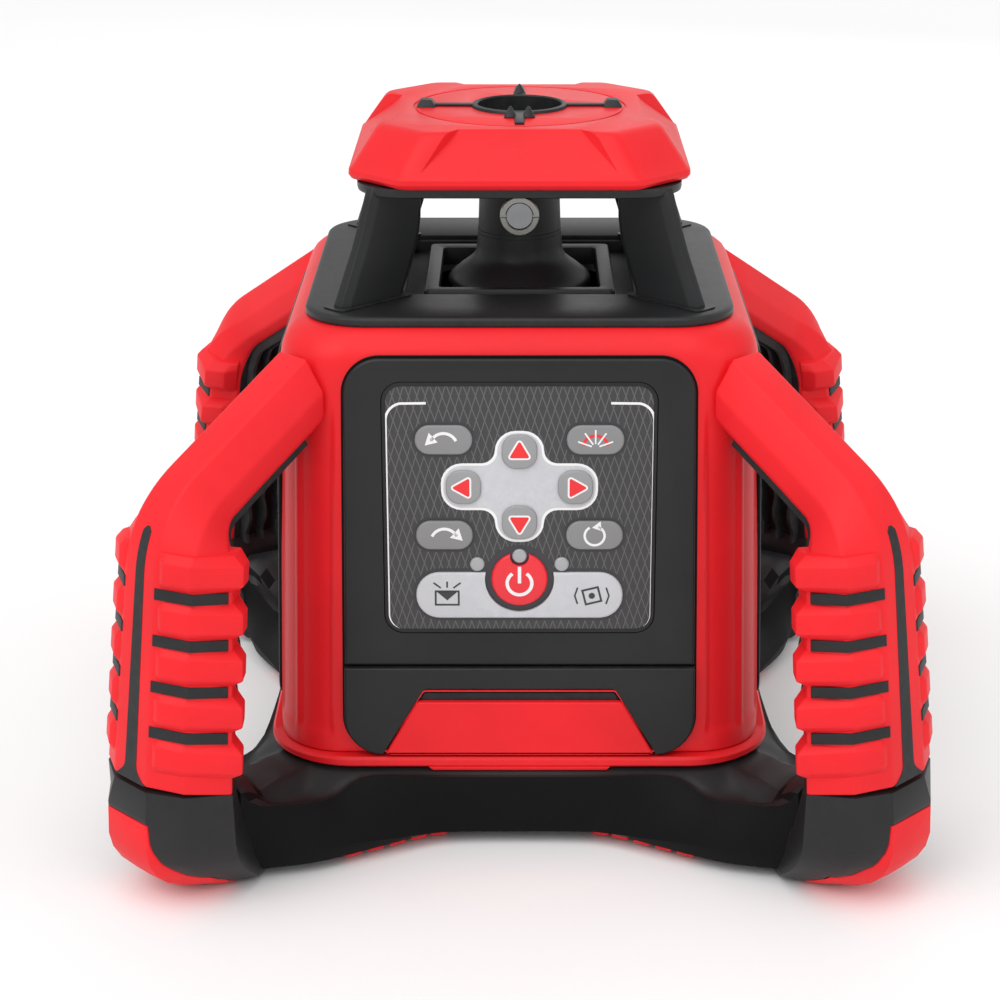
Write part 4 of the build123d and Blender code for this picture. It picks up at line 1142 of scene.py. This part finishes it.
def beam_fan(x, z):
    """Red bow under five rays, for the scanning beam."""
    foot = z - 1.9
    pieces = [stroke("bow", arc(x, foot, 3.1, 10, 170, 14), 0.7, MARK, print_red)]
    for degrees in (20, 55, 90, 125, 160):
        c, s = math.cos(math.radians(degrees)), math.sin(math.radians(degrees))
        ray = [(x + 1.0 * c, foot + 1.0 * s), (x + 4.6 * c, foot + 4.6 * s)]
        pieces.append(stroke("ray", ray, 0.4, MARK + 0.02, print_white))
    return pieces


def loop_arrow(x, z):
    """Nearly closed loop with an arrow head, for the turning speed."""
    tip_x, tip_z = arc(x, z, 2.5, 430, 431, 1)[0]
    head = [(tip_x - 1.5, tip_z - 0.2), (tip_x + 0.9, tip_z - 1.1), (tip_x + 0.6, tip_z + 1.5)]
    return [
        stroke("loop", arc(x, z, 2.5, 120, 430, 20), 0.6, MARK, print_white),
        flat_shape("head", head, MARK, print_white),
    ]


for name, (x, z) in PILLS.items():
    pieces = [key_dome(name, pill_outline(x, z, 7.1, 3.75), key_grey)]
    if name == "key_scan":
        pieces += beam_fan(x, z)
    elif name == "key_speed":
        pieces += loop_arrow(x, z)
    else:
        pieces += turn_arrow(x, z, name == "key_turn_right")
    finish_key(name, pieces)

for name, x, z, direction in (
    ("key_up", 0.0, 107.0, "up"), ("key_down", 0.0, 88.6, "down"),
    ("key_left", -13.9, PAD_Z, "left"), ("key_right", 13.9, PAD_Z, "right"),
):
    pieces = [key_dome(name, rounded_box(x - 4.4, x + 4.4, z - 4.4, z + 4.4, 3.6), key_mid)]
    pieces.append(triangle(x, z, 3.0, direction, MARK + 0.01, print_red))
    pieces.append(triangle(x, z, 3.0, direction, MARK, print_white, 0.45))
    finish_key(name, pieces)

power = key_dome("key_power", arc(0, POWER_Z, 7.1, 0, 354, 59), key_red, KEY_OUT + 0.1, 0.8)
cut_face(power, arc(0, LAMP_IN_KEY_Z, 2.4, 0, 350, 35), -1, 5)
smooth(power, 40)
symbol = [
    stroke("power_arc", arc(0, 72.6, 3.1, 125, 415, 28), 0.85, KEY_OUT + 0.17, print_white),
    stroke("power_bar", [(0, 72.6), (0, 77.0)], 0.85, KEY_OUT + 0.18, print_white),
]
finish_key("key_power", [power] + symbol)


def long_half(side):
    """Half of the long bottom key, cut round the power key."""
    key = key_dome("long_key", pill_outline(0, LONG_KEY_Z, 26.0, 6.1), key_light)
    far, near = -side * 60, -side * 0.01
    cut_face(key, [(far, 50), (near, 50), (near, 90), (far, 90)][::side], -2, 6)
    cut_face(key, arc(0, POWER_Z, 8.7, 0, 354, 59), -2, 6)
    return smooth(key, 40)


def level_icon(cx, cz):
    """Box with a vial mark and three rays."""
    box = [(cx - 2.9, cz - 2.6), (cx + 2.9, cz - 2.6), (cx + 2.9, cz + 1.0), (cx - 2.9, cz + 1.0)]
    mark = [(cx - 2.6, cz + 0.9), (cx, cz - 1.4), (cx + 2.6, cz + 0.9)]
    pieces = [stroke("box", box, 0.45, MARK, print_black, closed=True)]
    pieces.append(flat_shape("mark", mark, MARK, print_black))
    for x0, z0, x1, z1 in ((-3.4, 3.3, -1.6, 1.9), (3.4, 3.3, 1.6, 1.9), (0, 3.6, 0, 2.0)):
        pieces.append(stroke("ray", [(cx + x0, cz + z0), (cx + x1, cz + z1)], 0.4, MARK, print_black))
    return pieces


def shock_icon(cx, cz):
    """Tilted box between two shake marks."""
    upright = [(-2.0, -1.9, 0), (2.0, -1.9, 0), (2.0, 1.9, 0), (-2.0, 1.9, 0)]
    box = [(cx + x, cz + z) for x, z, _ in turned(upright, 14)]
    pieces = [stroke("box", box, 0.5, MARK, print_black, closed=True)]
    for side in (-1, 1):
        shake = [(cx + side * 3.6, cz - 2.2), (cx + side * 4.3, cz), (cx + side * 3.6, cz + 2.2)]
        pieces.append(stroke("shake", shake, 0.4, MARK, print_black))
    pieces.append(flat_shape("dot", arc(cx, cz, 0.8, 0, 340, 17), MARK, print_black))
    return pieces


finish_key("key_manual", [long_half(-1)] + level_icon(-18.2, LONG_KEY_Z + 0.2))
finish_key("key_shock", [long_half(1)] + shock_icon(18.2, LONG_KEY_Z))

LAMPS = ((-10.6, 77.4), (10.6, 77.4), (0.0, LAMP_IN_KEY_Z))
lamps = [plate("lamp", arc(x, z, 1.85, 0, 348, 29), -1.0, 1.75, 0.6, 4) for x, z in LAMPS]
keep(joined("lamps", lamps, lamp_grey), "housing", ["led_lenses"])


# ---------------------------------------------------------------- battery cover and latch
cover = plate("cover", panel_band(25.3, 49.5), -1.0, 2.4, 0.6, 3)
recess = fillet_outline(
    [(-35.6, 20.0), (35.6, 20.0), (35.35, 25.2), (24.2, 43.9), (-24.2, 43.9), (-35.35, 25.2)],
    [0, 0, 0, 1.6, 1.6, 0], 5,
)
cut_face(cover, recess, 0.9, 8)
bevel(cover, 0.25, 2, 50)
dress(cover, black_satin)
lining = fillet_outline([(-35.2, 26.4), (35.2, 26.4), (24.6, 43.5), (-24.6, 43.5)], [0, 0, 1.4, 1.4], 5)
lining_red = ring_shape("lining", lining, 0.35, 2.25, red_gloss, 1.4)
pocket_floor = flat_shape("pocket_floor", shrink(lining, 0.9), 1.05, black_satin, 0.3)
step = fillet_outline([(-26.0, 38.0), (26.0, 38.0), (24.3, 42.4), (-24.3, 42.4)], [0, 0, 0.8, 0.8], 4)
grey_step = flat_shape("grey_step", step, 1.35, black_soft, 0.5)
keep(
    joined("battery_cover_shape", [cover, lining_red, pocket_floor, grey_step]),
    "battery_pack", ["battery_pack_case"],
)

latch_outline = fillet_outline(
    [(-34.5, 25.9), (34.5, 25.9), (26.3, 40.4), (-26.3, 40.4)], [0.3, 0.3, 1.6, 1.6], 6
)
latch = plate("latch", latch_outline, 1.35, 3.0, 0.55, 4)
bead = plate("bead", [(-33.6, 25.5), (33.6, 25.5), (33.6, 27.1), (-33.6, 27.1)], 1.4, 2.9, 0.7, 4)
keep(joined("latch_shape", [latch, bead], red_gloss), "battery_latch", ["battery_latch"])


# ---------------------------------------------------------------- side and rear panels
PANEL_BORDER = fillet_outline(
    [(-46.5, 33.0), (46.5, 33.0), (45.6, 127.5), (-45.6, 127.5)], [6.0, 6.0, 9.0, 9.0], 12
)
SOCKET_X, SOCKET_Z = 22.0, 58.0


def bordered_panel(name, field_low):
    """Black plate with a raised border round a sunk field that starts at a height."""
    field = fillet_outline(
        [(-40.5, field_low), (40.5, field_low), (39.9, 121.0), (-39.9, 121.0)], [5.0, 5.0, 7.0, 7.0], 10
    )
    return dress(framed_plate(name, PANEL_BORDER, field, 0.0, 0.8, 0.45, 0.35, 0.2), black_satin)


def panel_ribs(low, count):
    places = [low + index * 10.0 for index in range(count)]
    ribs = [plate("rib", rounded_box(-34, 34, z - 1.1, z + 1.1, 1.05, 5), 0.2, 0.7, 0.35, 3) for z in places]
    return [dress(rib, black_satin) for rib in ribs]


def make_side_panel(turn):
    """Black panel of a side, with shallow ribs."""
    # Painted shadow in the gap round the side panel.
    gap = dress(shadow_gap("side_gap_shade", PANEL_BORDER), shade_black)
    pieces = [bordered_panel("side", 39.0), gap] + panel_ribs(50.0, 7)
    return moved(joined(f"panel_{turn}", pieces), spin(90 * turn))


keep(make_side_panel(3), "housing", ["side_panel_left"])
keep(make_side_panel(1), "housing", ["side_panel_right"])


def make_rear_panel():
    """Rear panel with the seat of the charging socket."""
    panel = bordered_panel("rear", 70.0)
    cut_face(panel, arc(SOCKET_X, SOCKET_Z, 7.0, 0, 350, 47), 0.3, 4)
    cut_face(panel, arc(SOCKET_X, SOCKET_Z, 4.2, 0, 350, 35), -6, 4)
    smooth(panel, 40)
    # Painted shadow in the gap round the rear panel.
    gap = ring_shape("rear_gap_shade", shrink(PANEL_BORDER, -0.55), 1.2, 0.12, shade_black, 0.5)
    # Dark disc of painted shade that fills the socket hole in place of its shadowed inside.
    floor = flat_shape("socket_shade", arc(SOCKET_X, SOCKET_Z, 4.0, 0, 350, 35), 0.06, shade_black)
    pieces = [panel, gap, floor] + panel_ribs(80.0, 4)
    return moved(joined("rear_panel_shape", pieces), spin(180))


keep(make_rear_panel(), "housing", ["rear_panel"])


# ---------------------------------------------------------------- deck and well
def revolved(name, profile, steps=96):
    """Solid of revolution about Z from a closed profile of (radius, z) points."""
    rings = []
    for i in range(steps):
        angle = 2 * math.pi * i / steps
        rings.append([(r * math.cos(angle), r * math.sin(angle), z) for r, z in profile])
    return looped_loft(name, rings)


def square_tube(name, levels_outer, levels_inner):
    """Ring between outer and inner rounded squares, each given as (half, radius, z) levels."""
    rings = [rounded_square(half, half, r, z) for half, r, z in levels_outer + levels_inner[::-1]]
    return smooth(looped_loft(name, rings), 38)


DECK_TOP_Z = 138.9


def make_deck():
    deck = square_tube(
        "deck",
        [
            (53.2, 15.2, 136.4), (53.7, 15.4, 136.6), (53.9, 15.6, 137.2), (53.8, 15.5, 138.2),
            (53.3, 15.2, 138.7), (52.4, 14.8, DECK_TOP_Z),
        ],
        [(31.1, 1.6, 136.4), (31.1, 1.6, 138.6), (31.5, 2.0, DECK_TOP_Z)],
    )
    field = rounded_box(-19.0, 19.0, 33.6, 50.6, 1.6, 4)
    low = [(x, y, DECK_TOP_Z - 0.1) for x, y in field]
    high = [(x, y, DECK_TOP_Z - 0.04) for x, y in shrink(field, 0.1)]
    steps = [loft("deck_field", [turned(low, 90 * turn), turned(high, 90 * turn)]) for turn in range(4)]
    return joined("deck_shape", [deck] + [smooth(step, 40) for step in steps], black_satin)


keep(make_deck(), "housing", ["deck_plate"])


def make_well():
    well = square_tube(
        "well",
        [
            (30.95, 1.4, 133.3), (30.95, 1.4, 137.6), (30.6, 1.3, 137.8), (29.6, 1.2, 137.6),
            (29.3, 1.1, 134.9), (25.2, 1.0, 134.9), (24.8, 1.5, 135.2), (24.6, 1.5, 137.7),
            (24.2, 1.5, 138.2), (23.4, 1.4, 138.2),
        ],
        [(20.8, 1.2, 133.3), (20.8, 1.2, 137.4), (21.0, 1.3, 137.9), (21.9, 1.4, 138.2)],
    )
    return dress(well, black_satin)


keep(make_well(), "housing", ["rotor_well"])


# ---------------------------------------------------------------- guard posts
# A guard blade by height: outer edge, inner edge and thickness along its diagonal.
BLADE_LEVELS = [
    (DECK_TOP_Z, 64.2, 43.3, 5.4), (139.9, 64.0, 43.2, 5.0), (146.0, 61.2, 40.3, 4.8),
    (152.0, 58.4, 37.7, 4.6), (158.0, 56.0, 36.6, 4.5), (164.0, 53.9, 36.4, 4.4), (167.6, 52.6, 36.4, 4.4),
]


def make_blade(angle):
    rings = []
    for z, outer, inner, thick in BLADE_LEVELS:
        h = thick / 2
        half = [(outer, h * 0.55, z), (outer - 2.2, h, z), (inner + 2.0, h, z), (inner, h * 0.6, z)]
        rings.append(half + [(x, -y, z) for x, y, _ in reversed(half)])
    return moved(bevel(loft("post", rings), 0.35, 2, 20), spin(angle))


def make_blade_foot(angle):
    outline = rounded_box(41.8, 66.0, -3.9, 3.9, 1.6, 4)
    low = [(x, y, DECK_TOP_Z - 0.05) for x, y in outline]
    high = [(x, y, DECK_TOP_Z + 0.35) for x, y in shrink(outline, -0.1)]
    return moved(smooth(loft("post_foot", [low, high])), spin(angle))


def make_guard():
    """Four blades on the deck and the ring that carries the cap."""
    pieces = []
    for angle in CORNERS.values():
        pieces += [make_blade(angle), make_blade_foot(angle)]
    pieces.append(
        square_tube(
            "cap_seat",
            [(39.6, 12.0, 165.5), (40.6, 12.2, 165.9), (40.8, 12.2, 166.8), (40.8, 12.2, 168.0)],
            [(27.5, 12.0, 165.5), (27.0, 12.0, 168.0)],
        )
    )
    inner = revolved("seat_ring", [(27.2, 165.6), (30.0, 165.6), (30.0, 167.9), (27.2, 167.9)])
    pieces.append(bevel(inner, 0.3, 2, 40))
    return joined("guard_shape", pieces, black_satin)


keep(make_guard(), "housing", ["guard_frame"])


# ---------------------------------------------------------------- cap
def octagon_ring(half, cut, z, radius):
    """Square of a half width with cut and rounded corners."""
    flat = half - cut
    pts = [
        (half, -flat), (half, flat), (flat, half), (-flat, half),
        (-half, flat), (-half, -flat), (-flat, -half), (flat, -half),
    ]
    return [(x, y, z) for x, y in fillet_outline(pts, radius, 5)]


CAP_LEVELS = [
    (41.6, 12.8, 168.0, 4.0), (42.4, 13.0, 168.4, 4.0), (43.0, 13.2, 169.4, 4.0), (42.9, 13.2, 170.6, 4.0),
    (42.1, 13.0, 171.3, 4.0), (40.6, 12.8, 173.6, 4.2), (37.6, 12.3, 178.0, 4.4), (36.2, 12.0, 180.0, 4.5),
    (35.4, 11.8, 180.7, 4.5), (34.6, 11.6, 181.0, 4.5), (33.8, 11.4, 181.1, 4.4),
]
CAP_FACET = [(-15.0, -31.2, 181.15), (15.0, -31.2, 181.15), (26.0, -43.4, 170.6), (-26.0, -43.4, 170.6)]


def make_cap():
    """Cap with a sloping facet cut into each side, a ring groove and the hole for the sights."""
    cap = loft("cap", [octagon_ring(*level) for level in CAP_LEVELS])
    groove = revolved("groove", [(27.0, 180.75), (27.7, 180.75), (27.7, 182.5), (27.0, 182.5)])
    boolean(cap, groove, "DIFFERENCE")
    hole = loft("hole", [circle(12.5, 160.0), circle(12.5, 190.0)])
    boolean(cap, hole, "DIFFERENCE")
    above = [(x * 1.2, y - 6.0, z + 6.0) for x, y, z in CAP_FACET]
    for turn in range(4):
        facet = loft("facet", [turned(CAP_FACET, 90 * turn), turned(above, 90 * turn)])
        boolean(cap, facet, "DIFFERENCE")
    return bevel(cap, 0.28, 2, 24)


def cap_mark_matrix(turn):
    """Takes (x, up-slope, out) onto the sloping facet of one side of the cap."""
    slope = math.atan2(10.55, 12.2)
    centre = Vector((0, -37.3, 175.9)) * MM
    along = Vector((0, math.cos(slope), math.sin(slope)))
    out = Vector((0, -math.sin(slope), math.cos(slope)))
    matrix = Matrix.Identity(4)
    matrix.col[0] = (1, 0, 0, 0)
    matrix.col[1] = (*along, 0)
    matrix.col[2] = (*out, 0)
    matrix.col[3] = (*centre, 1)
    return spin(90 * turn) @ matrix


def bar_mesh(name, start, end, width, height):
    """Raised bar between two points of a flat (x, y) plane."""
    a, b = Vector(start), Vector(end)
    along = (b - a).normalized()
    n = Vector((-along.y, along.x)) * width / 2
    pts = [a + n, a - n, b - n, b + n]
    ring = [(p.x, p.y) for p in pts][::-1]
    low = [(x, y, -0.6) for x, y in ring]
    high = [(x, y, height) for x, y in ring]
    return loft(name, [low, high])


Y_BARS = [((-1.6, 2.0), (0, -0.2)), ((1.6, 2.0), (0, -0.2)), ((0, 0.1), (0, -2.4))]
X_BARS = [((-1.5, 2.1), (1.5, -2.1)), ((1.5, 2.1), (-1.5, -2.1))]


def make_axis_marks():
    """Raised letters of the two measuring axes, X on the sides and Y on the front and back."""
    pieces = []
    for turn in range(4):
        for start, end in X_BARS if turn % 2 else Y_BARS:
            bar = bevel(bar_mesh("mark", start, end, 0.75, 0.0), 0.12, 1)
            pieces.append(moved(bar, cap_mark_matrix(turn)))
    return pieces


keep(joined("cap_shape", [make_cap()] + make_axis_marks(), red_gloss), "housing", ["cap"])


def box_ring(x0, x1, y0, y1, z):
    return [(x0, y0, z), (x1, y0, z), (x1, y1, z), (x0, y1, z)]


def make_sights():
    """Black ring in the cap's hole with cross arms, blocks and aiming spikes."""
    profile = [(10.94, 170.2), (12.45, 170.2), (12.5, 181.4), (12.2, 181.8), (11.3, 181.95), (10.94, 181.6)]
    pieces = [smooth(revolved("sight", profile), 40)]
    for turn in range(4):
        outline = [(12.0, -1.5), (25.6, -1.2), (25.6, 1.2), (12.0, 1.5)]
        arm = loft("arm", [[(x, y, z) for x, y in outline] for z in (181.0, 181.75)])
        made = [bevel(arm, 0.25, 2)]
        if turn % 2 == 0:
            low = box_ring(21.6, 26.8, -3.2, 3.2, 181.0)
            high = box_ring(22.9, 25.6, -2.0, 2.0, 182.9)
            made.append(bevel(loft("block", [low, high]), 0.3, 2))
        else:
            for y in (0.0,) if turn == 1 else (-2.3, 2.3):
                foot = box_ring(14.4, 17.4, y - 1.7, y + 1.7, 181.2)
                tip = box_ring(15.6, 16.2, y - 0.25, y + 0.25, 183.95)
                made.append(bevel(loft("spike", [foot, tip]), 0.15, 1))
        pieces += [moved(m, spin(90 * turn)) for m in made]
    return joined("sight_shape", pieces, black_satin)


keep(make_sights(), "housing", ["sight_ring"])


# ---------------------------------------------------------------- rotor
BEAM_Z = 154.4
ROTOR_PROFILE = [
    (8.4, 164.0), (10.2, 164.0), (10.65, 163.6), (10.7, 156.0), (10.9, 150.0), (11.2, 145.0), (11.6, 142.6),
    (12.4, 141.2), (13.8, 140.0), (15.6, 138.7), (17.3, 137.3), (18.5, 136.2), (19.05, 135.2), (19.0, 134.3),
    (18.2, 133.5), (16.8, 133.0), (16.0, 133.2), (16.0, 134.2), (8.4, 134.2),
]


def make_rotor():
    head = revolved("rotor", ROTOR_PROFILE, 128)
    hole = [[(x, y, BEAM_Z + z) for x, z, _ in circle(5.2, 0.0, 56)] for y in (-4.0, -20.0)]
    boolean(head, loft("beam_hole", hole), "DIFFERENCE")
    pieces = [smooth(head, 34)]
    for z in (147.6, 148.6):
        band = revolved("band", [(10.6, z), (11.12, z + 0.1), (11.12, z + 0.35), (10.6, z + 0.45)])
        pieces.append(smooth(band))
    return joined("rotor_shape", pieces, black_satin)


keep(make_rotor(), "rotor", ["rotor_head"])


def ring_on_front(name, profile, steps=72):
    """Ring about the beam axis, along -Y, from a closed profile of (radius, y) points."""
    rings = []
    for i in range(steps):
        angle = 2 * math.pi * i / steps
        rings.append([(r * math.cos(angle), y, BEAM_Z + r * math.sin(angle)) for r, y in profile])
    return looped_loft(name, rings)


def make_lens_ring():
    """Two-notched ring round the beam window."""
    profile = [(5.12, -9.0), (5.12, -11.4), (4.9, -11.8), (3.7, -11.85), (3.45, -11.5), (3.45, -9.0)]
    ring = ring_on_front("lens_ring", profile)
    for side in (-1, 1):
        low, high = sorted((side * 3.2, side * 5.6))
        z0, z1 = BEAM_Z - 0.4, BEAM_Z + 0.4
        notch = [[(low, y, z0), (high, y, z0), (high, y, z1), (low, y, z1)] for y in (-13, -11.2)]
        boolean(ring, loft("slot", notch), "DIFFERENCE")
    return dress(smooth(ring, 35), ring_silver)


keep(make_lens_ring(), "rotor", ["lens_ring"])

# ---------------------------------------------------------------- finish of the frame's own pieces
FRAME_FINISH = {
    "tripod_insert": brass, "case_screws": steel, "charge_socket": steel, "charge_cover": black_soft,
    "battery_bay": black_satin, "battery_contacts": brass, "battery_cells": cell_wrap,
    "gimbal_bracket": alloy, "gimbal_ring": alloy, "laser_carriage": alloy, "laser_module": brass,
    "rotor_bearings": steel, "spin_motor": can_grey, "motor_pulley": brass, "drive_belt": belt_black,
    "level_motors": can_grey, "level_plunger_x": steel, "level_plunger_y": steel, "rotor_shaft": steel,
    "rotor_optics": lens_glass, "circuit_boards": board_green,
}
for node_name, finish in FRAME_FINISH.items():
    dress(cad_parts[node_name], finish)


# ---------------------------------------------------------------- floor, light and camera
def make_floor():
    n = Nodes("studio_floor")
    place = n.node("ShaderNodeTexCoord").outputs["Object"]
    cloud = n.node("ShaderNodeTexNoise", Scale=3.0, Detail=2.0)
    n.wire(place, cloud.inputs["Vector"])
    n.wire(n.mix(cloud.outputs["Fac"], (0.90, 0.90, 0.90), (0.93, 0.93, 0.93)), n.shader.inputs["Base Color"])
    n.shader.inputs["Roughness"].default_value = 0.9
    n.shader.inputs["Specular IOR Level"].default_value = 0.1
    half = 6000.0
    corners = box_ring(-half, half, -half, half, -0.3)
    return dress(mesh_object("floor", corners, [(0, 1, 2, 3)]), n.material)


make_floor()


def area_light(name, place, aim, size, power):
    light = bpy.data.lights.new(name, "AREA")
    light.size = size
    light.energy = power
    obj = link(bpy.data.objects.new(name, light))
    obj.location = place
    obj.rotation_euler = (Vector(aim) - Vector(place)).to_track_quat("-Z", "Y").to_euler()
    return obj


def sun_light(name, aim_from, strength, spread_degrees):
    light = bpy.data.lights.new(name, "SUN")
    light.energy = strength
    light.angle = math.radians(spread_degrees)
    obj = link(bpy.data.objects.new(name, light))
    obj.rotation_euler = (-Vector(aim_from)).to_track_quat("-Z", "Y").to_euler()


sun_light("soft_sun", (-0.25, -0.45, 1.0), 1.35, 70.0)
area_light("key", (-0.75, -0.9, 1.15), (0, 0, 0.1), 0.9, 3.2)
area_light("fill", (0.9, -0.8, 0.7), (0, 0, 0.09), 0.8, 1.6)
area_light("back", (0.3, 1.0, 0.6), (0, 0, 0.12), 0.8, 1.0)

world = bpy.data.worlds.new("studio")
bpy.context.scene.world = world
world.use_nodes = True
world.node_tree.nodes["Background"].inputs[0].default_value = (1.0, 1.0, 1.0, 1.0)
world.node_tree.nodes["Background"].inputs[1].default_value = 0.66

bpy.context.scene.view_settings.view_transform = "Standard"

camera = bpy.data.cameras.new("camera")
camera.sensor_width = 36.0
camera.lens = 84.87
camera.shift_x = -0.0195
camera.clip_start = 0.01
camera_object = link(bpy.data.objects.new("camera", camera))
camera_object.location = (0.0, -0.6123, 0.2965)
camera_object.rotation_euler = (math.radians(69.83), 0.0, 0.0)
bpy.context.scene.camera = camera_object
